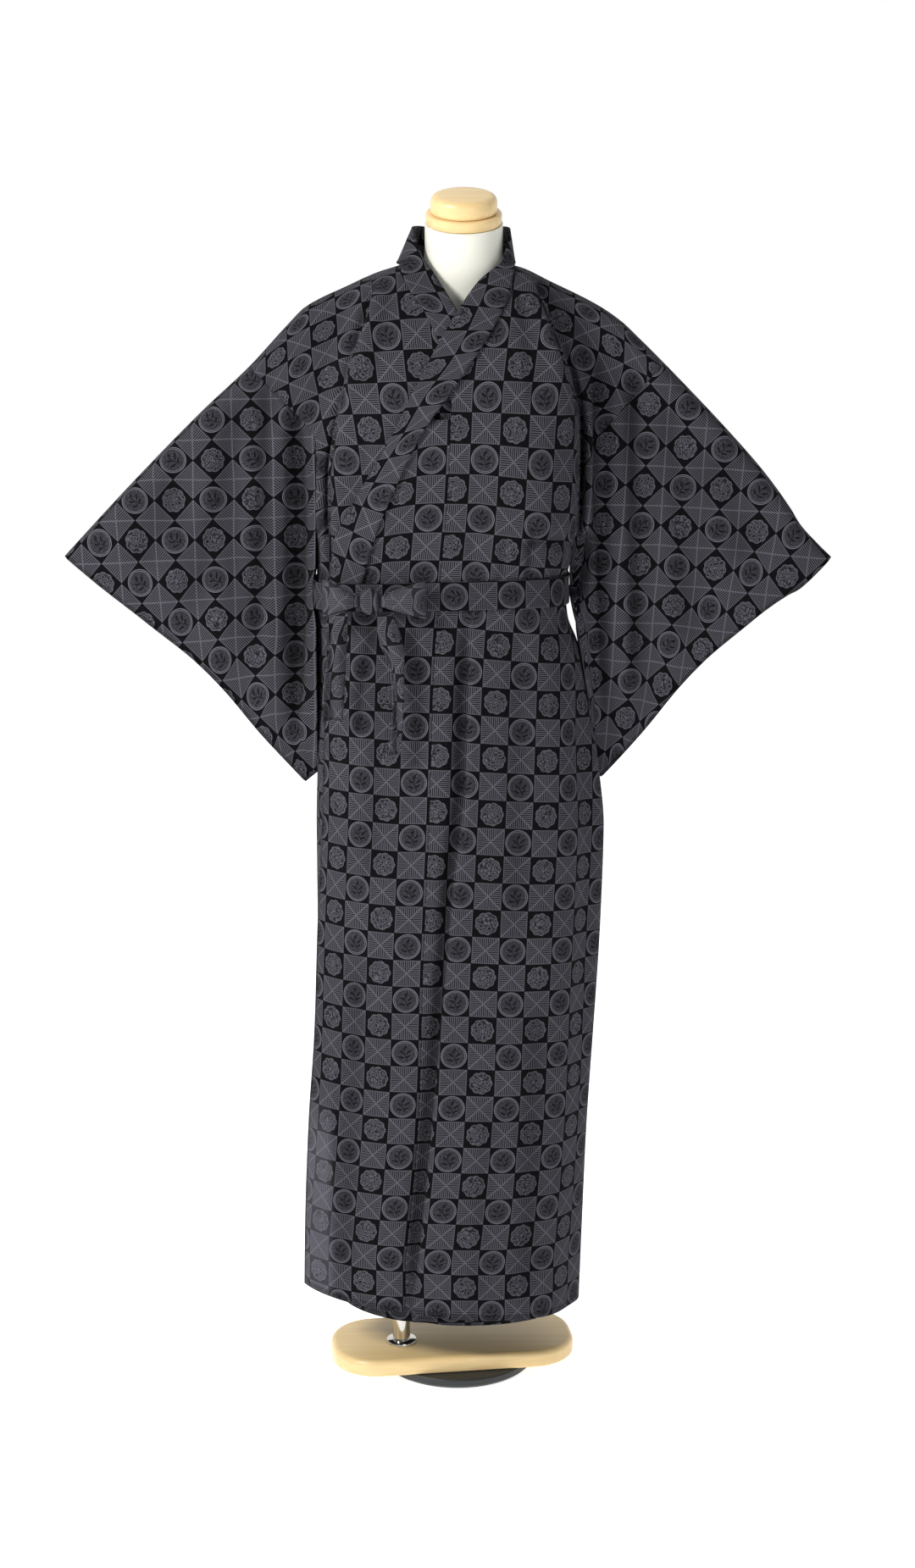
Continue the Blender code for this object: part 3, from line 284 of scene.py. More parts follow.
# line, left width, right width, depth
FRONT_CREASES = (
    # the skirt's long fold beside the overlap's seam
    (((0.024, 1.07), (0.018, 0.84), (0.003, 0.72), (-0.01, 0.567), (-0.029, 0.355), (-0.052, 0.11)),
     0.012, 0.0045, -0.009),
    (((0.032, 1.06), (0.025, 0.84), (0.01, 0.72), (-0.003, 0.567), (-0.022, 0.355), (-0.045, 0.11)),
     0.004, 0.02, 0.004),
    (((0.086, 1.068), (0.092, 0.9), (0.088, 0.64)), 0.016, 0.012, -0.0022),
    (((-0.09, 1.066), (-0.096, 0.93), (-0.106, 0.72)), 0.012, 0.016, -0.002),
    (((-0.062, 1.062), (-0.07, 0.9)), 0.008, 0.01, -0.0016),
    (((-0.118, 0.62), (-0.13, 0.38), (-0.142, 0.15)), 0.016, 0.012, -0.0026),
    (((0.118, 0.56), (0.112, 0.33), (0.106, 0.12)), 0.018, 0.014, -0.0028),
    (((0.052, 0.42), (0.044, 0.26), (0.036, 0.11)), 0.014, 0.018, -0.0016),
    # the main folds beside the armholes
    (((-0.092, 1.49), (-0.1, 1.472), (-0.126, 1.388), (-0.143, 1.3245), (-0.1545, 1.249), (-0.155, 1.1)),
     0.004, 0.005, -0.007),
    (((-0.08, 1.49), (-0.087, 1.472), (-0.112, 1.388), (-0.129, 1.3245), (-0.1405, 1.249), (-0.141, 1.1)),
     0.007, 0.012, 0.0026),
    (((0.108, 1.505), (0.115, 1.49), (0.144, 1.41), (0.159, 1.373), (0.1725, 1.3127), (0.172, 1.18)),
     0.005, 0.0045, -0.0075),
    (((0.094, 1.505), (0.101, 1.49), (0.13, 1.41), (0.145, 1.373), (0.159, 1.3127), (0.159, 1.18)),
     0.012, 0.007, 0.0026),
    # the wearer's left chest
    (((0.109, 1.19), (0.1, 1.12)), 0.0035, 0.008, -0.0034),
    (((0.072, 1.176), (0.068, 1.12)), 0.006, 0.0045, -0.0022),
    (((0.096, 1.162), (0.128, 1.168), (0.158, 1.158)), 0.007, 0.006, -0.0036),
    (((0.104, 1.19), (0.132, 1.192), (0.16, 1.184)), 0.01, 0.008, 0.0024),
    (((0.09, 1.48), (0.098, 1.42), (0.108, 1.34)), 0.007, 0.01, -0.0024),
    (((0.126, 1.44), (0.138, 1.38), (0.15, 1.3)), 0.012, 0.006, 0.003),
    (((0.03, 1.18), (0.026, 1.122)), 0.006, 0.008, -0.0016),
    # the wearer's right chest
    (((-0.07, 1.49), (-0.086, 1.42), (-0.1, 1.35)), 0.01, 0.007, -0.0026),
    (((-0.112, 1.4), (-0.128, 1.33), (-0.14, 1.25), (-0.143, 1.15)), 0.006, 0.011, 0.003),
    (((-0.104, 1.3), (-0.12, 1.24), (-0.13, 1.17)), 0.008, 0.01, -0.002),
    # the wearer's right sleeve
    (((-0.196, 1.33), (-0.192, 1.2), (-0.196, 1.02), (-0.205, 0.9)), 0.011, 0.008, -0.0085),
    (((-0.214, 1.33), (-0.216, 1.18), (-0.224, 0.98)), 0.012, 0.009, 0.0045),
    (((-0.236, 1.37), (-0.244, 1.2), (-0.262, 1.0)), 0.012, 0.015, -0.005),
    (((-0.268, 1.35), (-0.31, 1.18), (-0.34, 1.06)), 0.016, 0.016, -0.0026),
    (((-0.36, 1.24), (-0.4, 1.12)), 0.022, 0.018, -0.0024),
    # the wearer's left sleeve
    (((0.19, 1.4), (0.192, 1.2), (0.203, 1.06), (0.206, 0.93)), 0.0045, 0.009, -0.005),
    (((0.214, 1.38), (0.216, 1.2), (0.222, 0.98)), 0.009, 0.011, 0.0048),
    (((0.236, 1.38), (0.24, 1.2), (0.25, 0.96)), 0.012, 0.012, -0.0058),
    (((0.28, 1.34), (0.3, 1.18), (0.31, 1.02)), 0.018, 0.016, -0.0032),
    (((0.35, 1.27), (0.385, 1.13)), 0.022, 0.02, -0.0024),
)
# the back's are like the front's but plainer
BACK_CREASES = (
    (((-0.04, 1.18), (-0.036, 1.122)), 0.007, 0.009, -0.0028),
    (((0.05, 1.19), (0.044, 1.122)), 0.009, 0.006, -0.003),
    (((0.098, 1.185), (0.09, 1.122)), 0.006, 0.009, -0.003),
    (((-0.096, 1.185), (-0.088, 1.122)), 0.008, 0.006, -0.003),
    (((0.128, 1.4), (0.136, 1.28), (0.134, 1.16)), 0.01, 0.014, -0.006),
    (((-0.118, 1.4), (-0.128, 1.28), (-0.126, 1.16)), 0.014, 0.01, -0.0055),
    (((-0.205, 1.34), (-0.204, 1.16), (-0.212, 0.96)), 0.012, 0.011, -0.006),
    (((-0.25, 1.35), (-0.27, 1.12)), 0.016, 0.015, -0.0034),
    (((0.214, 1.35), (0.216, 1.16), (0.224, 0.96)), 0.011, 0.012, -0.006),
    (((0.262, 1.35), (0.286, 1.11)), 0.015, 0.016, -0.0034),
    (((0.02, 1.066), (0.03, 0.9), (0.036, 0.7)), 0.012, 0.016, -0.0028),
    (((-0.078, 1.066), (-0.09, 0.88), (-0.104, 0.6)), 0.016, 0.012, -0.003),
)
CREASES = {Face.FRONT: FRONT_CREASES, Face.BACK: BACK_CREASES}


# --- Curves through the tables ---
def smooth(rows: Rows, column: int, at: float, key: int = 0) -> float:
    """A column's value at a key, on a curve that doesn't overshoot between rows.

    Args:
        rows: The table, its keys rising.
        column: The column to read.
        at: The key to read it at.
        key: The column that holds the keys.

    Returns:
        The value there.
    """
    keys = [row[key] for row in rows]
    values = [row[column] for row in rows]
    at = min(max(at, keys[0]), keys[-1])
    i = min(max(int(np.searchsorted(keys, at, side="right")) - 1, 0), len(keys) - 2)

    def slope(j: int) -> float:
        """The curve's slope at row j."""
        if j in (0, len(keys) - 1):
            return 0.0 if len(keys) > 2 else (values[-1] - values[0]) / (keys[-1] - keys[0])
        before = (values[j] - values[j - 1]) / (keys[j] - keys[j - 1])
        after = (values[j + 1] - values[j]) / (keys[j + 1] - keys[j])
        return 0.0 if before * after <= 0 else 2 * before * after / (before + after)

    span = keys[i + 1] - keys[i]
    t = (at - keys[i]) / span
    first, last = slope(i), slope(i + 1)
    if i == 0:
        first = 1.5 * (values[1] - values[0]) / span - 0.5 * last
    if i == len(keys) - 2:
        last = 1.5 * (values[-1] - values[-2]) / span - 0.5 * first
    return (
        (1 + 2 * t) * (1 - t) ** 2 * values[i]
        + t * (1 - t) ** 2 * span * first
        + t * t * (3 - 2 * t) * values[i + 1]
        + t * t * (t - 1) * span * last
    )


class Curve:
    """A column of a table, sampled once so that it reads fast."""

    STEPS = 1600

    def __init__(self, rows: Rows, column: int = 1, key: int = 0) -> None:
        """Samples the column between the table's first and last key."""
        self.low, self.high = float(rows[0][key]), float(rows[-1][key])
        self.step = (self.high - self.low) / self.STEPS
        self.values = [smooth(rows, column, self.low + self.step * i, key) for i in range(self.STEPS + 1)]

    def __call__(self, at: float) -> float:
        """The value at a key."""
        place = (min(max(at, self.low), self.high) - self.low) / self.step
        i = min(int(place), self.STEPS - 1)
        return self.values[i] + (self.values[i + 1] - self.values[i]) * (place - i)


def ease(low: float, high: float, at: float) -> float:
    """0 at low, 1 at high, smooth between."""
    t = min(max((at - low) / (high - low), 0.0), 1.0)
    return t * t * (3 - 2 * t)


def blend(first, last, weight: float):
    """A point or number between two others."""
    return first + (last - first) * weight


def roll(share: float) -> float:
    """The depth of a sheet that rolls over an edge: 0 at the edge, 1 one radius below it."""
    share = min(max(share, 0.0), 1.0)
    return math.sqrt(1 - (1 - share) ** 2)


def spread(first: float, last: float, count: int) -> list:
    """Evenly spaced values, both ends included."""
    return [blend(first, last, i / (count - 1)) for i in range(count)]


# --- The robe's form, as in the frame ---
SECTION_CURVES = [Curve(SECTIONS, column) for column in range(1, 7)]
TOP_CURVE = Curve(TOP_LINE)
EDGE_CURVE = Curve(EDGE_TURN)
FOLD_CURVES = {side: [Curve(rows, column) for column in (1, 2, 3)] for side, rows in FOLDS.items()}
OKUMI_LEFT_CURVE = Curve(OKUMI_SEAM_LEFT)
OKUMI_RIGHT_CURVE = Curve(OKUMI_SEAM_RIGHT)
UPPER_COLLAR_CURVE = Curve(UPPER_COLLAR_SEAM)
LOWER_COLLAR_CURVE = Curve(LOWER_COLLAR_SEAM)
UNDER_EDGE_CURVE = Curve(UNDER_EDGE)
SLEEVE_CURVES = {side: Curve(rows) for side, rows in SLEEVE_INNER.items()}


@dataclass(frozen=True)
class Section:
    """A level cut of the robe's body."""

    left: float
    free_edge: float
    right: float
    front: float
    back: float
    squareness: float


def section(z: float) -> Section:
    """The level cut at a height."""
    return Section(*(curve(z) for curve in SECTION_CURVES))


def skirt_fold(turn: float, z: float) -> float:
    """How far the skirt's long folds move it out at a turn."""
    degrees = math.degrees(turn)
    if degrees > 180:
        degrees -= 360
    total = 0.0
    for at, width, depth, low, high in SKIRT_FOLDS:
        share = 1 - 0.7 * ease(low + 0.25, low, z) if low > 0 else 1.0
        total += depth * math.exp(-(((degrees - at) / width) ** 2)) * ease(high, high - 0.16, z) * share
    return total


def flap_reach(cut: Section, z: float) -> float:
    """Half the width of the left front's cut on the wearer's right."""
    edge = math.radians(EDGE_CURVE(z))
    return (MIDDLE - cut.free_edge) / abs(math.cos(edge)) ** (2 / cut.squareness)


def tube(turn: float, z: float, out: float = 0.0, flap: bool = False) -> Point:
    """A point on the body's level cut.

    Args:
        turn: The turn from the wearer's left towards the front, in radians.
        z: The height.
        out: How far outside the right front it lies.
        flap: Whether it belongs to the left front, which is wider on the wearer's right.

    Returns:
        The point.
    """
    cut = section(z)
    cos, sin = math.cos(turn), math.sin(turn)
    power = 2 / cut.squareness
    across = (cut.right if cos > 0 else 2 * MIDDLE - cut.left) - MIDDLE
    if flap and cos < 0:
        across = flap_reach(cut, z) - out
    deep = cut.front if sin > 0 else cut.back
    out += skirt_fold(turn, z)
    x = MIDDLE + (across + out) * math.copysign(abs(cos) ** power, cos)
    y = -(deep + out) * math.copysign(abs(sin) ** power, sin)
    return np.array((x, y, z))


def turn_of(x: float, z: float, out: float = 0.0, flap: bool = False) -> float:
    """The turn at which the front of the tube reaches an X."""
    cut = section(z)
    reach = (cut.right - MIDDLE if x > MIDDLE else MIDDLE - cut.left) + out
    if flap and x < MIDDLE:
        reach = flap_reach(cut, z)
    share = min(abs(x - MIDDLE) / reach, 1.0)
    turn = math.acos(share ** (cut.squareness / 2))
    return turn if x > MIDDLE else math.pi - turn


def roll_height(x: float) -> float:
    """How far below the top line the cloth still rolls over the shoulder."""
    return blend(0.200, 0.022, ease(0.02, 0.25, abs(x - MIDDLE)))


def arm_y(x: float, z: float, face: Face) -> float:
    """Y of a sleeve's face, with its broad hanging folds."""
    sign, middle, crest, length = ARM_FOLDS[face]
    reach = abs(x)
    wave = 0.006 * math.cos((reach - crest) / length * math.pi) * ease(0.46, 0.22, reach)
    return middle - sign * 0.004 * ease(0.20, 0.45, reach) + wave * ease(1.36, 1.20, z)


def front_y(x: float, z: float, out: float = 0.0) -> float:
    """Y of the front above the waist, a distance out of the right front."""
    side = 1 if x > MIDDLE else -1
    fold_x, valley, strip = (curve(z) for curve in FOLD_CURVES[side])
    past = side * (x - fold_x)
    chest = tube(turn_of(x if past < 0 else fold_x, z, out), z, out)[1]
    full = chest
    if past >= 0:
        valley_at, strip_at, arm_at = 0.004, 0.013, 0.032
        deep, rise = max(valley, chest), max(strip, chest)
        if past < valley_at:
            full = blend(chest, deep, past / valley_at)
        elif past < strip_at:
            full = blend(deep, rise, ease(valley_at, strip_at, past))
        else:
            full = blend(rise, arm_y(x, z, Face.FRONT), ease(strip_at, arm_at, past))
    return blend(TOP_Y, full, roll((TOP_CURVE(x) - z) / roll_height(x)))


def back_y(x: float, z: float) -> float:
    """Y of the back above the waist."""
    cut = section(z)
    edge = 0.155
    near = MIDDLE + math.copysign(min(abs(x - MIDDLE), edge - 0.004), x - MIDDLE)
    reach = cut.right - MIDDLE if x > MIDDLE else MIDDLE - cut.left
    share = min(abs(near - MIDDLE) / reach, 1.0)
    full = cut.back * (1 - share**cut.squareness) ** (1 / cut.squareness)
    full = blend(full, arm_y(x, z, Face.BACK), ease(edge - 0.004, edge + 0.022, abs(x - MIDDLE)))
    return blend(TOP_Y, full, roll((TOP_CURVE(x) - z) / roll_height(x)))


def row_height(rise: float, x: float) -> float:
    """Z of a row at an X: a height below SPREAD_Z, then a share of the way up to the top line."""
    if rise < SPREAD_Z:
        return rise
    return blend(SPREAD_Z, TOP_CURVE(x), rise - SPREAD_Z)


def on_path(path_of_z: Callable[[float], float], rise: float) -> tuple:
    """Where a line given as X of Z meets a row."""
    if rise <= SPREAD_Z:
        return path_of_z(rise), rise
    low, high = SPREAD_Z, 1.56
    for _ in range(26):
        z = (low + high) / 2
        if row_height(rise, path_of_z(z)) > z:
            low = z
        else:
            high = z
    x = path_of_z(low)
    return x, row_height(rise, x)


def hem_z(x: float, under: bool) -> float:
    """Z of the hem at an X."""
    if under:
        return blend(0.1080, 0.1040, ease(-0.16, 0.10, x))
    return blend(0.1345, 0.1030, min(max((x + 0.198) / 0.378, 0.0), 1.0))


def settle(rise: float, x: float, under: bool) -> float:
    """A row's height with the lowest rows moved to the hem's line."""
    return rise if rise > SETTLED_Z else blend(hem_z(x, under), SETTLED_Z, rise / SETTLED_Z)


# --- Creases ---
def smooth_steps(low: float, high: float, at: np.ndarray) -> np.ndarray:
    """0 at low, 1 at high, smooth between, for many values."""
    t = np.clip((at - low) / (high - low), 0.0, 1.0)
    return t * t * (3 - 2 * t)


def crease_moves(points: np.ndarray, normals: np.ndarray) -> np.ndarray:
    """How far each point of a sheet moves out along its normal, from all creases on its face."""
    x, z = points[..., 0], points[..., 2]
    facing = {
        Face.FRONT: smooth_steps(0.05, 0.50, -normals[..., 1]),
        Face.BACK: smooth_steps(0.05, 0.50, normals[..., 1]),
    }
    total = np.zeros(x.shape)
    for face, crease in ((face, Crease(*row)) for face, rows in CREASES.items() for row in rows):
        line = np.array(crease.line)
        steps = np.diff(line, axis=0)
        lengths = np.hypot(steps[:, 0], steps[:, 1])
        whole, passed = lengths.sum(), 0.0
        nearest, signed = np.full(x.shape, np.inf), np.full(x.shape, np.inf)
        along = np.zeros(x.shape)
        for start, step, length in zip(line, steps, lengths):
            dx, dz = x - start[0], z - start[1]
            share = np.clip((dx * step[0] + dz * step[1]) / length**2, 0, 1)
            distance = np.hypot(dx - share * step[0], dz - share * step[1])
            nearer = distance < nearest
            side = np.sign(step[0] * dz - step[1] * dx)
            nearest = np.where(nearer, distance, nearest)
            signed = np.where(nearer, distance * side, signed)
            along = np.where(nearer, (passed + share * length) / whole, along)
            passed += length
        width = np.where(signed < 0, crease.left_width, crease.right_width)
        ends = smooth_steps(-0.05, 0.10, along) * smooth_steps(1.04, 0.84, along)
        total += crease.depth * np.exp(-((nearest / width) ** 2)) * ends * facing[face]
    return total


# --- Fine sheets ---
def normals_of(points: np.ndarray, closed: bool, flip: bool) -> np.ndarray:
    """The outward direction at each point of a grid."""
    if closed:
        ahead = np.roll(points, -1, axis=0) - np.roll(points, 1, axis=0)
    else:
        ahead = np.gradient(points, axis=0)
    normal = np.cross(ahead, np.gradient(points, axis=1))
    length = np.linalg.norm(normal, axis=2, keepdims=True)
    return normal / np.maximum(length, 1e-9) * (1 if flip else -1)


def finer(stops: Sequence[float], longest: float) -> list:
    """The stops with evenly spaced ones added, none further apart than the longest step."""
    found = [stops[0]]
    for low, high in zip(stops, stops[1:]):
        count = max(1, math.ceil(abs(high - low) / longest - 1e-9))
        found += [blend(low, high, (i + 1) / count) for i in range(count)]
    return found


def finished(name: str, made: bmesh.types.BMesh, finish: bpy.types.Material) -> bpy.types.Object:
    """The object of a shape, in its finish and in the scene."""
    mesh = bpy.data.meshes.new(name)
    made.to_mesh(mesh)
    made.free()
    mesh.materials.append(finish)
    piece = bpy.data.objects.new(name, mesh)
    bpy.context.scene.collection.objects.link(piece)
    return piece


@dataclass
class Sheet:
    """A grid of points for one piece of cloth, with its flat coordinates."""

    name: str
    points: np.ndarray
    flat: np.ndarray
    flip: bool
    closed: bool = False
    thickness: float = CLOTH
    skin: float = CLOTH_WALL
    creased: bool = True
    jump_column: Optional[int] = None
    flat_beyond: Optional[np.ndarray] = None
    hem: Optional[np.ndarray] = None
    # painted light, per point: how much lighter the cloth is drawn, as if light shone through it
    painted_through_light: Optional[np.ndarray] = None

    def build(self, finish: bpy.types.Material) -> bpy.types.Object:
        """Makes the object: a grid bent to the points, its UV map, the hem attribute, and attributes for the
        painted shade of crease troughs and the painted light through thin cloth.
        """
        points = self.points
        normals = normals_of(points, self.closed, self.flip)
        moves = crease_moves(points, normals) if self.creased else np.zeros(points.shape[:2])
        points = points + normals * (moves + self.skin)[..., None]
        if self.closed:
            points = np.concatenate([points, points[:1]])
        across, along = points.shape[:2]
        made = bmesh.new()
        bmesh.ops.create_grid(made, x_segments=across - 1, y_segments=along - 1, size=1.0)
        made.verts.ensure_lookup_table()
        places = [
            (round((vert.co.x + 1) / 2 * (across - 1)), round((vert.co.y + 1) / 2 * (along - 1)))
            for vert in made.verts
        ]
        layer = made.loops.layers.uv.new("flat")
        # painted shade: the deeper a crease's trough, the darker its colour is drawn; painted light: the last
        # mark draws thin cloth lighter
        marks = (
            ("painted_crease_shade", np.clip(-moves / PAINTED_SHADE_DEPTH, 0.0, 1.0)),
            ("hem", np.ones(moves.shape) if self.hem is None else self.hem),
            ("painted_through_light", np.zeros(moves.shape) if self.painted_through_light is None else self.painted_through_light),
        )
        layers = [(made.verts.layers.float.new(mark), values) for mark, values in marks]
        flat = np.concatenate([self.flat, self.flat[:1]]) if len(self.flat) < across else self.flat
        beyond = flat if self.flat_beyond is None else self.flat_beyond
        for vert, (i, j) in zip(made.verts, places):
            vert.co = points[i, j]
            for mark, values in layers:
                vert[mark] = float(values[i % len(values), j])
        jump = across if self.jump_column is None else self.jump_column
        for face in made.faces:
            first = min(places[loop.vert.index][0] for loop in face.loops)
            source = beyond if first >= jump else flat
            for loop in face.loops:
                i, j = places[loop.vert.index]
                loop[layer].uv = source[i, j]
            face.smooth = True
        if self.closed:
            bmesh.ops.remove_doubles(made, verts=made.verts, dist=1e-7)
        if not self.flip:
            bmesh.ops.reverse_faces(made, faces=made.faces)
        piece = finished(self.name, made, finish)
        wall = piece.modifiers.new("Thickness", "SOLIDIFY")
        wall.thickness = self.thickness
        wall.offset = -1.0
        return piece


def grid(surface: Callable[..., Point], across: Sequence, along: Sequence) -> np.ndarray:
    """The points of a surface: a column for each place across, a row for each along."""
    return np.array([[surface(u, v) for v in along] for u in across])


def arc_lengths(points: np.ndarray, axis: int, weights: Sequence[float] = (1, 1, 1)) -> np.ndarray:
    """Distance along the grid from its first row or column, in the directions that have a weight."""
    steps = np.diff(points, axis=axis) * np.array(weights)
    lengths = np.linalg.norm(steps, axis=2)
    total = np.cumsum(lengths, axis=axis)
    return np.concatenate([np.zeros_like(np.take(total, [0], axis=axis)), total], axis=axis)


def far_lengths(points: np.ndarray, axis: int, weights: Sequence[float] = (1, 1, 1)) -> np.ndarray:
    """Distance along the grid from its last row or column."""
    return np.flip(arc_lengths(np.flip(points, axis), axis, weights), axis)


def hem_share(lengths: np.ndarray, band: float) -> np.ndarray:
    """The hem attribute: 0 at an edge, 1 at its stitching and more inside it."""
    return np.minimum(lengths / band, HEM_REACH)


def fineness(fine: float) -> float:
    return fine * 1.0


# --- The robe's pieces ---
# z, slant of the print per metre outwards
PRINT_SLANTS = ((0.10, 0.03), (0.45, 0.07), (0.90, 0.10), (1.15, 0.13), (1.22, 0.13), (1.36, 0.0))
NECK_X = {-1: -0.0640, 1: 0.0855}  # where the back's inner lines meet the neck
SKIRT_RISES = (0.0, 0.02, 0.12, 0.24, 0.36, 0.48, 0.60, 0.70, 0.79, 0.86, 0.92, 0.98, 1.03)
WAIST_RISES = (1.060, 1.085, 1.110, 1.145, CHEST_Z)


@dataclass
class BodyPanel:
    """One half of the robe's body, front and back in one length over the shoulder."""

    side: int
    column_step: float = 0.0125
    inner_step: float = 0.0060
    inner_share: float = 0.26
    row_step: float = 0.0110
    waist_step: float = 0.0070
    fold_share: float = 0.72
    left_shift: float = 0.044
    strip_shift: float = 0.026
    strip_turn: float = 25.0
    flat_reach: float = 0.04
    seam_lean: float = 6.5
    right_shift: float = 0.0702
    right_z: float = 1.3827
    right_lean: float = 0.1157
    underlap_ends: tuple = (1.475, 1.420)
    neck_ends: tuple = (1.488, 1.513)
    lap_ends: tuple = (0.98, 0.66)

    def __post_init__(self) -> None:
        """Picks the lines that bound this half."""
        self.outer_layer = self.side > 0
        self.out = LAP if self.outer_layer else 0.0
        self.okumi = OKUMI_LEFT_CURVE if self.outer_layer else OKUMI_RIGHT_CURVE
        self.collar = UPPER_COLLAR_CURVE if self.outer_layer else LOWER_COLLAR_CURVE
        self.side_turn = 0.0 if self.side > 0 else math.pi
        self.ends: dict = {}

    def inner_front(self, z: float) -> float:
        """The front's inner line: the overlap's seam, then the collar's."""
        neck = self.collar(z) - self.side * COLLAR_UNDERLAP * ease(*self.underlap_ends, z)
        return blend(self.okumi(z), neck, ease(self.okumi.high - 0.012, self.okumi.high + 0.006, z))

    def inner_back(self, z: float) -> float:
        """The back's inner line: the centre seam, then the neck."""
        return MIDDLE + (NECK_X[self.side] - MIDDLE) * ease(*self.neck_ends, z)

    def outer(self, z: float) -> float:
        """The outer line: the side, then the armhole's seam."""
        (top_x, top), _, _, (low_x, low) = SLEEVES[self.side]
        if z >= low:
            return blend(low_x, top_x, (z - low) / (top - low))
        cut = section(z)
        side_x = cut.right if self.side > 0 else cut.left
        return blend(side_x, low_x, ease(low - 0.055, low, z))

    def row_ends(self, rise: float) -> tuple:
        """Where a row meets the front's inner line, main fold and outer line, and the back's inner line."""
        if rise not in self.ends:
            lines = (self.inner_front, FOLD_CURVES[self.side][0], self.outer, self.inner_back)
            self.ends[rise] = tuple(on_path(line, rise)[0] for line in lines)
        return self.ends[rise]

    def offset(self, x: float, z: float) -> float:
        """The left front's distance out, which it loses where it turns the side."""
        return self.out * ease(*self.lap_ends, abs(x - MIDDLE) / (section(z).right - MIDDLE))

    def front(self, u: float, rise: float) -> Point:
        """A point of the front."""
        low = None
        if rise <= WAIST_RISES[-1]:
            z = max(rise, LOWEST_CUT)
            first = turn_of(self.okumi(z), z, self.out, self.outer_layer)
            turn = blend(first, self.side_turn, u)
            x = tube(turn, z, 0.0, self.outer_layer)[0]
            z = settle(rise, x, not self.outer_layer)
            low = tube(turn, z, self.offset(x, z), self.outer_layer)
            if rise <= ARMPIT_Z:
                return low
        inner_x, fold_x, outer_x, _ = self.row_ends(rise)
        if u < self.fold_share:
            x = blend(inner_x, fold_x, 1 - (1 - u / self.fold_share) ** 1.15)
        else:
            x = blend(fold_x, outer_x, (u - self.fold_share) / (1 - self.fold_share))
        z = row_height(rise, x)
        high = np.array((x, front_y(x, z, self.offset(x, z)), z))
        return high if low is None else blend(low, high, ease(ARMPIT_Z, WAIST_RISES[-1], rise))

    def back(self, u: float, rise: float) -> Point:
        """A point of the back."""
        low = None
        turn = blend(math.radians(-90 if self.side > 0 else 270), self.side_turn, u)
        if rise <= WAIST_RISES[-1]:
            low = tube(turn, settle(rise, 0.0, True))
            if rise <= ARMPIT_Z:
                return low
        _, _, outer_x, inner_x = self.row_ends(rise)
        x = blend(inner_x, outer_x, u)
        z = row_height(rise, x)
        high = np.array((x, back_y(x, z), z))
        return high if low is None else blend(low, high, ease(ARMPIT_Z, WAIST_RISES[-1], rise))

    def rises(self) -> list:
        """The rows from the hem to the shoulder, one of which meets the armhole's bend."""
        bend_x, bend_z = SLEEVES[self.side][3]
        bend = (bend_z - SPREAD_Z) / (TOP_CURVE(bend_x) - SPREAD_Z)
        shares = [0.12, 0.24, bend, 0.46, 0.57, 0.68, 0.79, 0.88, 0.945, 0.982, 1.0]
        low = finer(SKIRT_RISES, fineness(self.row_step))
        low += finer((SKIRT_RISES[-1],) + WAIST_RISES, self.waist_step)[1:]
        high = finer([SPREAD_Z + share for share in [0.0] + shares], fineness(self.row_step) * 2.2)
        return low + high

    def sheet(self, name: str) -> Sheet:
        """The whole panel as a grid with its flat coordinates."""
        rises = self.rises()
        step = fineness(self.column_step)
        inner_columns = finer((0.0, self.inner_share), fineness(self.inner_step))
        inner_columns += finer((self.inner_share, self.fold_share), step * 1.2)[1:]
        columns = inner_columns + finer((self.fold_share, 1.0), step)[1:]
        jump = len(inner_columns) - 1
        front = grid(self.front, columns, rises)
        back = grid(self.back, columns, rises[-2::-1])
        points = np.concatenate([front, back], axis=1)
        turn_row = len(rises) - 1
        z = points[..., 2]
        line = self.print_line(points[0, :, 2], turn_row)
        u = line + self.side * arc_lengths(points, 0, (1, 1, 0.3))
        v = points[:, :1, 2] + arc_lengths(points, 1, (0, 1, 1))
        share = np.clip((z - SPREAD_Z) / (np.vectorize(TOP_CURVE)(points[..., 0]) - SPREAD_Z), 0, 1)
        top = v[:, turn_row : turn_row + 1]
        reach = np.maximum(np.abs(u) - self.flat_reach, 0)
        slant = reach * np.interp(z, *zip(*PRINT_SLANTS)) * (1 if self.side > 0 else 0.8)
        blouse = BLOUSE * smooth_steps(*BLOUSE_RISE, z)
        onwards = np.arange(points.shape[1]) <= turn_row
        rising = (TOP_V - top) * share**2 * np.where(onwards, 1, 0)
        v = v + np.where(onwards, 1, -1) * (slant + blouse) + rising
        v = v + np.where(onwards, 0, 1) * (TOP_V - top)
        v = self.level_back(v, z, turn_row)
        flat = np.stack([u - self.left_shift if self.side > 0 else u, v - RING_V], axis=2)
        beyond = self.turned_flat(points, flat, jump)
        beyond[:, ~onwards] = flat[:, ~onwards]
        beyond[:, z[0] < CHEST_Z] = flat[:, z[0] < CHEST_Z]
        to_hem = np.minimum(arc_lengths(points, 1), far_lengths(points, 1))
        hem = hem_share(to_hem, HEM_BAND)
        return Sheet(name, points, flat, self.side > 0, jump_column=jump, flat_beyond=beyond, hem=hem)

    def level_back(self, v: np.ndarray, z: np.ndarray, turn_row: int) -> np.ndarray:
        """The lengthwise coordinate with the back's print brought level below the shoulder blades."""
        row = turn_row + int(np.argmin(np.abs(z[0, turn_row:] - CHEST_Z)))
        level = v[:, row].mean()
        excess = v[:, row : row + 1] - level
        below = level + CHEST_Z - z[:, row:] + excess * smooth_steps(0.95, CHEST_Z, z[:, row:])
        return np.concatenate([v[:, :row], below], axis=1)

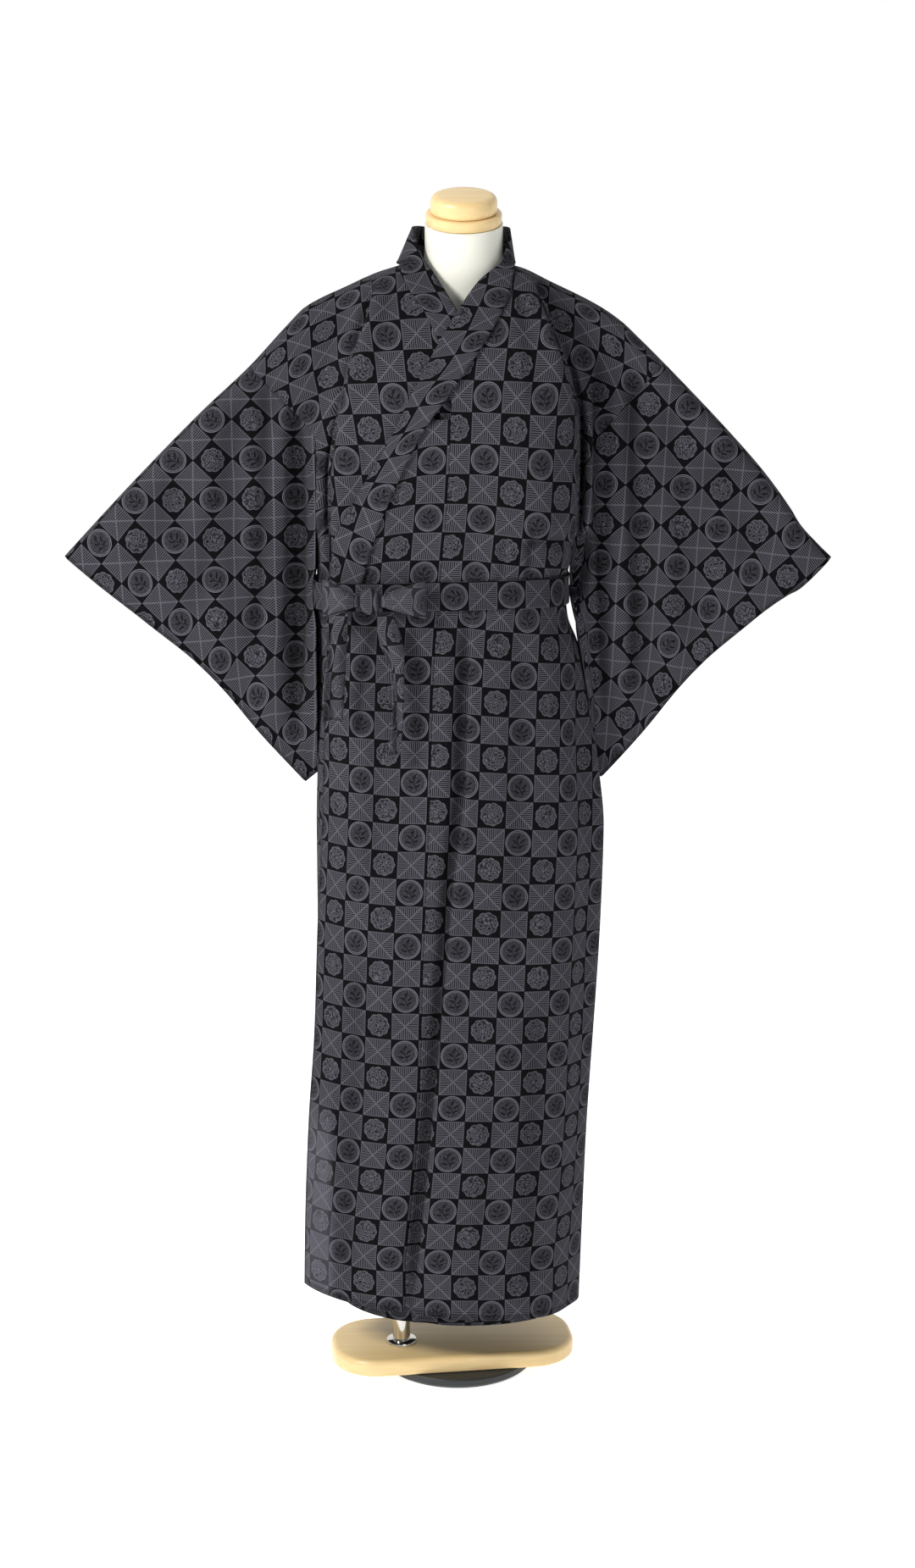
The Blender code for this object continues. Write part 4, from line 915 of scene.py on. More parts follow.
    def print_line(self, heights: np.ndarray, turn_row: int) -> np.ndarray:
        """The inner edge's flat coordinate across the cloth, row by row."""
        found = []
        for j, z in enumerate(heights):
            if j > turn_row:
                found.append(self.side * SQUARE * (1 if self.side > 0 else 1.2))
            elif self.side > 0:
                top_z, top_x = OKUMI_SEAM_LEFT[-1]
                above = top_x + (z - top_z) * math.tan(math.radians(self.seam_lean))
                found.append(self.inner_front(z) - (OKUMI_LEFT_CURVE(z) if z < top_z else above))
            else:
                found.append(self.inner_front(z) + self.right_shift + (z - self.right_z) * self.right_lean)
        return np.array(found)

    def turned_flat(self, points: np.ndarray, flat: np.ndarray, jump: int) -> np.ndarray:
        """Flat coordinates for the strip beyond the main fold, which lies turned against the chest."""
        angle = math.radians(self.strip_turn) * self.side
        x, z = points[..., 0] - points[jump, :, 0], points[..., 2] - points[jump, :, 2]
        u = flat[jump, :, 0] + self.strip_shift * self.side + x * math.cos(angle) - z * math.sin(angle)
        v = flat[jump, :, 1] + x * math.sin(angle) + z * math.cos(angle)
        return np.stack([u, v], axis=2)


def strip_point(lines: tuple, u: float, rise: float, out: float = 0.0, flap: bool = False) -> Point:
    """A point of a strip of the front.

    Args:
        lines: The strip's first and last line, each X as a function of Z.
        u: The share of the way from the first line to the last.
        rise: The row.
        out: How far outside the right front it lies.
        flap: Whether it belongs to the left front.

    Returns:
        The point.
    """
    z = max(rise, LOWEST_CUT)
    first, last = (line(z) for line in lines)
    turn = blend(turn_of(first, z, out, flap), turn_of(last, z, out, flap), u)
    low = tube(turn, settle(rise, tube(turn, z, out, flap)[0], not flap), out, flap)
    if rise <= ARMPIT_Z:
        return low
    x = blend(first, last, u)
    high = np.array((x, front_y(x, rise, out), rise))
    return blend(low, high, ease(ARMPIT_Z, CHEST_Z, rise))


@dataclass
class LeftOverlap:
    """The wearer's left overlap, with a point that runs up beside the collar."""

    columns: int = 40
    row_step: float = 0.0085
    tip_z: float = 1.322
    free_top: float = 1.05
    print_shift: float = 0.022

    def left_x(self, z: float) -> float:
        """The free edge, then the collar's seam."""
        collar = UPPER_COLLAR_CURVE(z) - COLLAR_UNDERLAP
        return blend(section(z).free_edge, collar, ease(1.064, 1.084, z))

    def surface(self, u: float, rise: float) -> Point:
        """A point of the overlap, from its seam to its free edge."""
        return strip_point((OKUMI_LEFT_CURVE, self.left_x), u, rise, LAP, True)

    def sheet(self, name: str) -> Sheet:
        """The overlap as a grid; its lower free corner, one layer of cloth, is drawn lighter with painted light
        shining through it.
        """
        stops = SKIRT_RISES + WAIST_RISES + (1.235, 1.280, self.tip_z)
        rises = finer(stops, fineness(self.row_step))
        columns = spread(0, 1, self.columns // (1))
        points = grid(self.surface, columns, rises)
        u = -arc_lengths(points, 0)
        v = points[:, :1, 2] + arc_lengths(points, 1, (0, 1, 1))
        v = v + BLOUSE * smooth_steps(*BLOUSE_RISE, points[..., 2])
        flat = np.stack([u + self.print_shift, v - RING_V], axis=2)
        edge = far_lengths(points, 0) / EDGE_BAND
        edge = np.where(points[..., 2] < self.free_top, edge, HEM_REACH)
        hem = np.minimum(hem_share(arc_lengths(points, 1), HEM_BAND), edge)
        # painted light: lighter towards the lower free corner, as if lit through the single layer
        corner = smooth_steps(-0.150, -0.166, points[..., 0]) * smooth_steps(0.44, 0.34, points[..., 2])
        return Sheet(name, points, flat, False, hem=hem, painted_through_light=corner)


@dataclass
class RightOverlap:
    """The wearer's right overlap, which lies under the left front."""

    columns: int = 24
    row_step: float = 0.012

    def right_x(self, z: float) -> float:
        """The free edge, then the collar's seam."""
        return UNDER_EDGE_CURVE(z) if z <= UNDER_EDGE[-1][0] else LOWER_COLLAR_CURVE(z) + COLLAR_UNDERLAP

    def surface(self, u: float, rise: float) -> Point:
        """A point of the overlap, from its seam to its free edge."""
        return strip_point((OKUMI_RIGHT_CURVE, self.right_x), u, rise)

    def sheet(self, name: str) -> Sheet:
        """The overlap as a grid."""
        rises = finer(SKIRT_RISES + WAIST_RISES + (1.230, 1.262), fineness(self.row_step))
        points = grid(self.surface, spread(0, 1, self.columns), rises)
        flat = np.stack([arc_lengths(points, 0), points[..., 2] - RING_V], axis=2)
        return Sheet(name, points, flat, True, hem=hem_share(arc_lengths(points, 1), HEM_BAND))


@dataclass
class Sleeve:
    """A sleeve: one length folded at its top edge, closed below."""

    side: int
    ring_step: float = 0.018
    across_step: float = 0.0125
    middle: float = 0.001
    roll_radius: float = 0.030
    cuff_reach: tuple = (-0.02, 0.110)
    print_shift: tuple = (0.011, 0.026)

    def __post_init__(self) -> None:
        """Works out the sleeve's own directions."""
        self.shoulder, self.tip, self.foot, self.armhole = (np.array(place) for place in SLEEVES[self.side])
        self.length = float(np.linalg.norm(self.foot - self.tip))
        self.bend = float(np.linalg.norm(self.armhole - self.shoulder)) / self.length
        down = (self.foot - self.tip) / self.length
        self.inwards = np.array((-down[1], down[0])) * self.side
        self.cuff_curves = [Curve(CUFF, column) for column in (1, 2)]

    def inner(self, v: float) -> Point:
        """The inner edge, first along the armhole and then free."""
        if v <= self.bend:
            return blend(self.shoulder, self.armhole, v / self.bend)
        z = blend(self.armhole[1], SLEEVE_LOW_Z, (v - self.bend) / (1 - self.bend))
        return np.array((SLEEVE_CURVES[self.side](z), z))

    def surface(self, v: float, u: float) -> Point:
        """A point: V runs from 0 at the top edge down the front to 1 and up the back to 2."""
        depth = v if v <= 1 else 2 - v
        hollow, opening = (curve(depth) for curve in self.cuff_curves)
        cuff = blend(self.tip, self.foot, depth) - self.inwards * hollow
        x, z = blend(self.inner(depth), cuff, u)
        reach = (x - self.shoulder[0]) / (self.tip[0] - self.shoulder[0])
        if 0 < reach < 1:
            z += (TOP_CURVE(x) - blend(self.shoulder[1], self.tip[1], reach)) * (1 - depth) ** 2
        y = front_y(x, z) if v <= 1 else back_y(x, z)
        y = blend(self.middle, y, roll((1 - depth) * self.length / self.roll_radius))
        from_cuff = (1 - u) * np.linalg.norm(cuff - self.inner(depth))
        y = blend(self.middle + opening / 2 * (-1 if v <= 1 else 1), y, ease(*self.cuff_reach, from_cuff))
        if v in (0, 2):
            y = TOP_Y
        elif v == 1:
            y = self.middle
        else:
            least = 0.0020 if 0.02 < depth < 0.98 else 0.0016
            centre = blend(TOP_Y, self.middle, min(depth * 4, 1))
            y = min(y, centre - least) if v < 1 else max(y, centre + least)
        return np.array((x, y, z))

    def sheet(self, name: str) -> Sheet:
        """The sleeve as a closed ring of columns, its print turned along its top edge."""
        down = finer(sorted((*SLEEVE_RINGS, self.bend)), fineness(self.ring_step))
        ring = down + [2 - v for v in reversed(down[1:-1])]
        across = finer((0.0, 1.0), fineness(self.across_step))
        points = grid(self.surface, ring, across)
        edge = (self.tip - self.shoulder) / np.linalg.norm(self.tip - self.shoulder)
        x, z = points[..., 0] - self.shoulder[0], points[..., 2] - self.shoulder[1]
        u = (x * edge[0] + z * edge[1]) * self.side
        v = -x * edge[1] * self.side + z * edge[0] * self.side
        back = (np.array(ring) > 1)[:, None]
        to_cuff = far_lengths(points, 1)
        turned_in = to_cuff - far_lengths(points, 1, (1, 0, 1))
        rolled = arc_lengths(points, 0) - arc_lengths(points, 0, (1, 0, 1))
        v = np.where(back, rolled[-1:] - rolled - v, v - rolled)
        flat = np.stack([u - turned_in, v], axis=2) + np.array(self.print_shift)
        return Sheet(name, points, flat, self.side > 0, closed=True, hem=hem_share(to_cuff, EDGE_BAND))


@dataclass
class Collar:
    """The long collar band, from under the sash, round the neck and down inside."""

    stations_per_row: int = 10
    columns: int = 10
    outs_above: tuple = (LAP + 0.0018 + COLLAR_WALL, 0.0044 + COLLAR_WALL)
    out_below: float = 0.0009 + COLLAR_WALL
    edge_band: float = 0.0016

    def __post_init__(self) -> None:
        """Fills in the rows that lie on the fronts."""
        rows = [self.filled(i, row) for i, row in enumerate(COLLAR)]
        self.curves = [Curve(rows, column) for column in range(1, 7)]
        self.flat_curve = Curve([(i, 1.0 if row[1] is None else 0.0) for i, row in enumerate(COLLAR)])

    def outs(self, station: float) -> list:
        """How far the seam edge and the free edge lie out of the right front."""
        weight = ease(COLLAR_CROSSING, 2 * COLLAR_CROSSING, station)
        return [blend(above, self.out_below, weight) for above in self.outs_above]

    def filled(self, i: int, row: tuple) -> tuple:
        """A row of the table with its Y worked out."""
        seam_x, seam_y, seam_z, free_x, free_y, free_z = row
        seam_out, free_out = self.outs(i)
        seam_y = front_y(seam_x, seam_z, seam_out) if seam_y is None else seam_y
        free_y = front_y(free_x, free_z, free_out) if free_y is None else free_y
        return (i, seam_x, seam_y, seam_z, free_x, free_y, free_z)

    def surface(self, u: float, station: float) -> Point:
        """A point of the collar, from its seam to its free edge."""
        values = [curve(station) for curve in self.curves]
        point = blend(np.array(values[:3]), np.array(values[3:]), u)
        flat = self.flat_curve(station)
        if flat > 0:
            out = blend(*self.outs(station), u)
            point[1] = blend(point[1], front_y(point[0], point[2], out), ease(0.0, 1.0, flat))
        return point

    def sheet(self, name: str) -> Sheet:
        """The collar as a grid with its own lengths as flat coordinates."""
        last = len(COLLAR) - 1
        stations = spread(0, last, last * self.stations_per_row // 1 + 1)
        points = grid(self.surface, spread(0, 1, self.columns), stations)
        middle = arc_lengths(points, 1)[self.columns // 2]
        flat = np.stack([arc_lengths(points, 0) - 0.012, np.tile(middle, (self.columns, 1))], axis=2)
        edge = np.minimum(arc_lengths(points, 0), far_lengths(points, 0)) / self.edge_band
        hem = 1.0 + np.minimum(edge, HEM_REACH - 1.0)
        return Sheet(name, points, flat, False, thickness=COLLAR_CLOTH, skin=COLLAR_WALL, hem=hem)


@dataclass
class Sash:
    """The narrow sash: its band round the waist, the bow's loops, the tails and the knot."""

    knot_centre: tuple = (-0.0985, -0.1290, 1.0950)
    knot_half: tuple = (0.0125, 0.0085, 0.0170)
    knot_girth: float = 0.070
    # painted light: how much paler the loops, tails and knot are drawn, as if lit through
    loop_painted_brightness: float = 0.60
    tail_painted_brightness: float = 0.15
    knot_painted_brightness: float = 0.35
    plain = {"thickness": SASH_CLOTH, "creased": False}

    def band(self, name: str) -> Sheet:
        """The band, a closed ring."""
        curves = [Curve(SASH, column) for column in (1, 2, 3)]
        count = 144

        def surface(degrees: float, v: float) -> Point:
            out, low, high = (curve(degrees) for curve in curves)
            point = tube(math.radians(degrees), blend(low, high, 0.5), out)
            ripple = 0.0006 * math.sin(degrees / 7.0 + 5 * v) * math.sin(math.pi * v)
            point[:2] *= 1 + ripple / 0.13
            point[2] = blend(low, high, v)
            return point

        turns = [i * 360 / count for i in range(count)]
        points = grid(surface, turns, spread(0, 1, 9))
        along = arc_lengths(points, 0)
        whole = np.concatenate([along, along[-1:] + (along[1:2] - along[:1])])
        across = np.tile(points[:1, :, 2] - points[0, 0, 2], (count + 1, 1))
        flat = np.stack([across - 0.018, whole], axis=2)
        return Sheet(name, points, flat, False, closed=True, skin=SASH_WALL, **self.plain)

    def loop(self, name: str) -> Sheet:
        """A bow loop: the band runs out from the knot, turns and comes back behind itself."""
        rows = [(i, *row) for i, row in enumerate(LOOPS[name])]
        curves = [Curve(rows, column) for column in range(1, 6)]
        last = rows[-1][0]
        outwards = 1 if rows[-1][1] > rows[0][1] else -1

        def surface(share: float, v: float) -> Point:
            reach = share if share <= 1 else 2 - share
            x, y, z, height, depth = (curve(reach * last) for curve in curves)
            half = depth / 2 * math.sqrt(max(1 - reach**6, 0.0))
            side = -1 if share < 1 else 1
            pleat = 0.0036 * math.cos(v * 4 * math.pi) * math.sin(math.pi * min(reach * 1.25, 1.0))
            bulge = 0.0045 * math.sin(v * math.pi) * math.sin(math.pi * reach) * (1 if share < 1 else 0.3)
            lift = 0.006 * reach * reach * (v - 0.3)
            y += side * (half + bulge) + pleat * (1 - reach) - 0.002
            return np.array((x, y, z + (v - 0.5) * height + lift))

        out = finer((0.0, 0.5, 0.92, 1.0), 0.04)
        ring = out + [2 - share for share in reversed(out[:-1])]
        points = grid(surface, ring, spread(0, 1, 13))
        flat = np.stack([points[..., 2] - points[0, 6, 2], arc_lengths(points, 0) + 0.011], axis=2)
        # painted light over the whole loop
        painted_light = np.full(points.shape[:2], self.loop_painted_brightness)
        return Sheet(name, points, flat, outwards > 0, skin=0.0, painted_through_light=painted_light, **self.plain)

    def tail(self, name: str) -> Sheet:
        """A hanging end, folded along its length."""
        rows = tuple(reversed(TAILS[name]))
        curves = [Curve(rows, column) for column in (1, 2, 3, 4)]

        def surface(u: float, z: float) -> Point:
            x, y, width, twist = (curve(z) for curve in curves)
            across = (u - 0.5) * width
            turn = math.radians(twist)
            fold = 0.0034 * math.sin(u * 2 * math.pi + (z - 1.0) * 22) * ease(1.08, 1.05, z) - 0.002
            return np.array((x + across * math.cos(turn), y + fold + across * math.sin(turn), z))

        heights = spread(rows[0][0], rows[-1][0], 49)
        points = grid(surface, spread(0, 1, 13), heights)
        flat = np.stack([arc_lengths(points, 0) * 1.5, points[..., 2]], axis=2)
        hem = hem_share(arc_lengths(points, 1), 0.004)
        # painted light over the whole tail
        painted_light = np.full(points.shape[:2], self.tail_painted_brightness)
        return Sheet(name, points, flat, True, skin=TAIL_WALL, hem=hem, painted_through_light=painted_light, **self.plain)

    def knot(self, name: str) -> Sheet:
        """The tight knot, a squat body of wrapped cloth with two turns of the band across it."""
        centre, half = np.array(self.knot_centre), self.knot_half

        def surface(turn: float, level: float) -> Point:
            cos, sin = math.cos(turn), math.sin(turn)
            girth = 1 - abs(level) ** 3 * 0.45
            wrap = 1 - 0.10 * math.exp(-((((cos * 0.9 + level * 0.5) - 0.15) / 0.10) ** 2))
            closing = math.sqrt(max(1 - abs(level) ** 7, 0.0))
            x = half[0] * girth * wrap * closing * math.copysign(abs(cos) ** 0.8, cos)
            y = half[1] * girth * wrap * closing * math.copysign(abs(sin) ** 0.8, sin)
            return centre + np.array((x, y, half[2] * level))

        turns = [2 * math.pi * i / 40 for i in range(40)]
        levels = [math.sin(blend(-1, 1, i / 20) * math.pi / 2) * 0.999 for i in range(21)]
        points = grid(surface, turns, levels)
        around = np.arange(41)[:, None] / 40 * self.knot_girth * np.ones((1, 21))
        flat = np.stack([np.tile(points[:1, :, 2] - centre[2], (41, 1)), around], axis=2)
        # painted light over the whole knot
        painted_light = np.full(points.shape[:2], self.knot_painted_brightness)
        return Sheet(name, points, flat, True, closed=True, skin=0.0, creased=False, painted_through_light=painted_light)


# --- Shader maths ---
def maths(operation: str, reflected: bool = False) -> Callable[..., "Value"]:
    """A method of Value that adds a math node of one kind."""

    def method(self: "Value", *others) -> "Value":
        """The node's result."""
        node = self.tree.nodes.new("ShaderNodeMath")
        node.operation = operation
        for socket, item in zip(node.inputs, (*others, self) if reflected else (self, *others)):
            feed(self.tree, socket, item)
        return Value(self.tree, node.outputs[0])

    return method


class Value:
    """A socket that carries a number, with arithmetic that adds math nodes."""

    __add__ = __radd__ = maths("ADD")
    __sub__, __rsub__ = maths("SUBTRACT"), maths("SUBTRACT", True)
    __mul__ = __rmul__ = maths("MULTIPLY")
    __truediv__, __gt__ = maths("DIVIDE"), maths("GREATER_THAN")
    least, most = maths("MINIMUM"), maths("MAXIMUM")
    floor, fraction, absolute = maths("FLOOR"), maths("FRACT"), maths("ABSOLUTE")
    sine, cosine, root, angle = maths("SINE"), maths("COSINE"), maths("SQRT"), maths("ARCTAN2")

    def __init__(self, tree: bpy.types.NodeTree, socket) -> None:
        """Wraps a socket of a node tree."""
        self.tree, self.socket = tree, socket

    def band(self, middle: float, half: float, soft: float = 0.012) -> "Value":
        """1 near a middle value, 0 further than half from it, with a soft edge."""
        return (self - middle).absolute().below(half, soft)

    def below(self, limit: float, soft: float = 0.012) -> "Value":
        """1 below a limit, 0 above it, with a soft edge."""
        return ((limit + soft - self) / (2 * soft)).clamp()

    def clamp(self) -> "Value":
        """Kept between 0 and 1."""
        return self.most(0.0).least(1.0)


def feed(tree: bpy.types.NodeTree, socket, item) -> None:
    """Leads a value or another socket to a socket, or sets a constant on it."""
    source = item.socket if isinstance(item, Value) else item
    if isinstance(source, bpy.types.NodeSocket):
        tree.links.new(source, socket)
    else:
        socket.default_value = source


class Shader:
    """A material's tree: one surface node and the maths that leads to it."""

    def __init__(self, name: str, roughness: float, metallic: float = 0.0) -> None:
        """Makes the material with a principled surface."""
        self.material = bpy.data.materials.new(name)
        self.material.use_nodes = True
        self.tree = self.material.node_tree
        self.surface = self.tree.nodes["Principled BSDF"]
        self.set("Roughness", roughness)
        self.set("Metallic", metallic)

    def set(self, name: str, value) -> None:
        """Sets a constant on the surface, or leads a value or colour to it."""
        feed(self.tree, self.surface.inputs[name], value)

    def node(self, kind: str, inputs: Optional[dict] = None, **settings):
        """Adds any node, with its settings and its inputs' values or links."""
        node = self.tree.nodes.new(kind)
        for key, value in settings.items():
            setattr(node, key, value)
        for key, value in (inputs or {}).items():
            feed(self.tree, node.inputs[key], value)
        return node

    def value(self, socket) -> Value:
        """Wraps a socket for arithmetic."""
        return Value(self.tree, socket)

    def parts(self, socket) -> list:
        """The three numbers of a vector."""
        node = self.node("ShaderNodeSeparateXYZ", {0: socket})
        return [self.value(output) for output in node.outputs]

    def vector(self, x, y, z=0.0):
        """A vector from three numbers."""
        return self.node("ShaderNodeCombineXYZ", {0: x, 1: y, 2: z}).outputs[0]

    def attribute(self, name: str) -> Value:
        """A number stored on the mesh."""
        return self.value(self.node("ShaderNodeAttribute", attribute_name=name).outputs["Fac"])

    def noise(self, vector, scale: float, detail: float = 3.0) -> Value:
        """Soft noise around a half."""
        node = self.node("ShaderNodeTexNoise", {"Vector": vector, "Scale": scale, "Detail": detail})
        return self.value(node.outputs[0])

    def mix(self, factor, first, second):
        """A colour between two others."""
        node = self.node("ShaderNodeMix", {0: factor, 6: first, 7: second}, data_type="RGBA")
        return node.outputs[2]

    def bump(self, height: Value, distance: float, strength: float = 1.0) -> None:
        """Adds fine relief from a height."""
        node = self.node("ShaderNodeBump", {"Height": height, "Distance": distance, "Strength": strength})
        self.set("Normal", node.outputs[0])


@dataclass(frozen=True)
class CottonFinish:
    """Levels of the print's greys, of the painted light through thin cloth, and the cotton's surface."""

    ground: float = 0.0040
    stroke: float = 0.0040
    light: float = 0.0735
    diagonal: float = 0.0900
    ring: float = 0.1650
    ring_inside: float = 0.0270
    motif: float = 0.0900
    petal: float = 0.0840
    # the grey that painted light through thin cloth mixes towards
    painted_light: float = 0.1150
    cool: float = 0.17
    roughness: float = 0.85
    strokes: float = 14.0
    petal_scale: float = 175.0
    outer_ring: float = 0.452
    inner_ring: float = 0.398
    field_radius: float = 0.43
    scallop: float = 0.385

    def tone(self, level: float) -> tuple:
        """A linear grey, as cool as the cotton."""
        return (level, level * (1 - self.cool * 0.1), level * (1 + self.cool), 1.0)

    def material(self, name: str) -> bpy.types.Material:
        """The printed cotton: light hatched squares and dark squares with two kinds of roundel, darkened with
        painted shade in crease troughs and lightened with painted light where the cloth is thin.
        """
        shader = Shader(name, self.roughness)
        shader.set("Specular IOR Level", 0.03)
        shader.set("Sheen Weight", 0.015)
        shader.set("Sheen Roughness", 0.5)
        flat = shader.node("ShaderNodeUVMap", uv_map="flat").outputs[0]
        u, v, _ = shader.parts(flat)
        wander = shader.noise(flat, 9.0, 1.0) - 0.5
        u = u + wander * 0.0012
        across, up = u / SQUARE, v / SQUARE
        column, row = (across + 0.5).floor(), (up + 0.5).floor()
        x, y = across - column, up - row
        odd = ((column + row) * 0.5).fraction() > 0.25
        flower_row = (row * 0.5).fraction() > 0.25
        light = self.light_square(shader, x, y)
        mottle = (shader.noise(flat, 420.0, 1.0) * 5.0 - 2.1).clamp()
        rings = self.ring_square(shader, x, y, mottle)
        edges = shader.node(
            "ShaderNodeTexVoronoi", {"Vector": flat, "Scale": self.petal_scale}, feature="DISTANCE_TO_EDGE"
        )
        flowers = self.flower_square(shader, x, y, shader.value(edges.outputs["Distance"]))
        dark = shader.mix(flower_row, rings, flowers)
        colour = shader.mix(odd, dark, light)
        threads = shader.noise(shader.vector(u * 2600, v * 500), 1.0, 1.0) * 0.16 + 0.92
        threads = threads * (shader.noise(flat, 14.0, 2.0) * 0.24 + 0.88)
        hem, painted_through_light = shader.attribute("hem"), shader.attribute("painted_through_light")
        band = hem.below(1.0, 0.05)
        # painted shade darkens the colour in crease troughs and painted light brightens thin cloth; the hem
        # bands are drawn darker
        level = threads * (1 - band * 0.36) * (1 + painted_through_light * 0.25) * (1 - shader.attribute("painted_crease_shade") * 0.55)
        # painted light: thin cloth is mixed towards a paler grey
        colour = shader.mix(painted_through_light * 0.28, colour, self.tone(self.painted_light))
        scaled = shader.node(
            "ShaderNodeVectorMath", {0: colour, 1: shader.vector(level, level, level)}, operation="MULTIPLY"
        )
        shader.set("Base Color", scaled.outputs[0])
        stitch = hem.band(1.0, 0.16, 0.08) * -0.00022
        weave = (u * 5200).sine() * (v * 5200).sine() * 0.00002
        slack = shader.noise(shader.node("ShaderNodeTexCoord").outputs["Object"], 34.0, 2.0) * 0.0011
        fine = shader.noise(shader.node("ShaderNodeTexCoord").outputs["Object"], 110.0, 2.0) * 0.00022
        shader.bump(stitch + weave + slack + fine, 1.0, 0.55)
        return shader.material

    def light_square(self, shader: Shader, x: Value, y: Value):
        """Four triangles of short strokes at right angles to their outer side, with light diagonals."""
        ax, ay = x.absolute(), y.absolute()
        sideways = ax > ay
        along = sideways * y + (1 - sideways) * x
        strokes = (along * self.strokes + 0.25).fraction().band(0.5, 0.22, 0.10)
        diagonal = (ax - ay).absolute().below(0.030, 0.012)
        border = ax.most(ay).band(0.5, 0.012, 0.010)
        inside = ax.most(ay).below(0.462, 0.012)
        colour = shader.mix(strokes * inside, self.tone(self.light), self.tone(self.stroke))
        colour = shader.mix(diagonal, colour, self.tone(self.diagonal))
        return shader.mix(border, colour, self.tone(self.ground))

    def ring_square(self, shader: Shader, x: Value, y: Value, mottle: Value):
        """A double ring round a small generic sprig on a mottled field."""
        distance = (x * x + y * y).root()
        field = shader.mix(mottle, self.tone(self.ring_inside * 0.8), self.tone(self.ring_inside * 1.6))
        colour = shader.mix(distance.below(self.field_radius), self.tone(self.ground), field)
        colour = shader.mix(self.sprig(x, y) * 0.9, colour, self.tone(self.ground))
        outer, inner = distance.band(self.outer_ring, 0.011, 0.010), distance.band(self.inner_ring, 0.006, 0.008)
        return shader.mix(outer.most(inner), colour, self.tone(self.ring))

    def sprig(self, x: Value, y: Value) -> Value:
        """A leaning stem with leaves and a bud, as a mask."""
        bent = x + y * 0.25 - y * y * 0.9 + 0.02
        mask = bent.absolute().below(0.014, 0.010) * (y + 0.02).absolute().below(0.25, 0.01)
        leaves = (
            (-0.13, -0.16, 0.30, 0.115),
            (0.12, -0.13, 2.60, 0.105),
            (-0.12, 0.04, 0.75, 0.100),
            (0.15, 0.05, 2.35, 0.120),
            (0.02, 0.21, 1.90, 0.090),
        )
        for at_x, at_y, turn, reach in leaves:
            cos, sin = math.cos(turn), -math.sin(turn)
            dx, dy = x - at_x, y - at_y
            along, off = dx * cos + dy * sin, dy * cos - dx * sin
            leaf = along * along * (1 / reach**2) + off * off * (1 / 0.030**2)
            mask = mask.most(leaf.below(1.0, 0.30))
        return mask

    def flower_square(self, shader: Shader, x: Value, y: Value, cells: Value):
        """A scalloped roundel packed with small petals."""
        distance = (x * x + y * y).root()
        turn = y.angle(x)
        scallop = (turn * 4.5).cosine().absolute() * 0.040 + self.scallop
        inside = (distance / scallop).below(1.0, 0.03)
        rim = (distance / scallop).band(0.955, 0.030, 0.03)
        petals = cells.band(0.16, 0.075, 0.05)
        hearts = distance.below(0.040, 0.012)
        colour = shader.mix(inside, self.tone(self.ground), self.tone(self.ring_inside * 0.55))
        colour = shader.mix(petals.most(hearts) * inside, colour, self.tone(self.petal))
        return shader.mix(rim, colour, self.tone(self.motif))


@dataclass(frozen=True)
class SolidFinish:
    """A plain coloured surface with slight wear and unevenness."""

    colour: tuple
    roughness: float
    metallic: float = 0.0
    coat: float = 0.0
    grain: float = 0.0
    relief: float = 0.0
    relief_scale: float = 900.0
    grain_along: tuple = (2.0, 60.0, 60.0)

    def material(self, name: str) -> bpy.types.Material:
        """Makes the material."""
        shader = Shader(name, self.roughness, self.metallic)
        place = shader.node("ShaderNodeTexCoord").outputs["Object"]
        x, y, z = shader.parts(place)
        patch = shader.noise(place, 7.0, 3.0)
        shader.set("Roughness", (patch * 0.10 + (self.roughness - 0.05)).clamp())
        streaks = shader.vector(*(axis * scale for axis, scale in zip((x, y, z), self.grain_along)))
        grain = shader.noise(streaks, 1.0, 4.0)
        rings = (grain * 26.0).sine() * 0.5 + 0.5
        shade = (rings * 0.35 + grain * 0.65) * self.grain
        darker = tuple(c * f for c, f in zip(self.colour, (0.74, 0.66, 0.52)))
        shader.set("Base Color", shader.mix(shade.clamp(), (*self.colour, 1.0), (*darker, 1.0)))
        shader.set("Coat Weight", self.coat)
        shader.set("Coat Roughness", 0.25)
        if self.relief:
            shader.bump(shader.noise(place, self.relief_scale, 2.0) * self.relief, 1.0, 0.6)
        return shader.material


# --- The dress form and its stand ---
@dataclass(frozen=True)
class FormSizes:
    """Driving sizes of the form's neck, pole, board and disc."""

    tilt: float = math.radians(18)
    pole_x: float = -0.066
    pole_y: float = -0.020
    pole_radius: float = 0.0123
    disc_top: float = 0.0130
    board_top: float = 0.0360
    board_turn: float = math.radians(8)
    board_length: float = 0.340
    board_depth: float = 0.147
    board_corner: float = 0.062
    board_edge: float = 0.008
    neck_top: float = 1.548


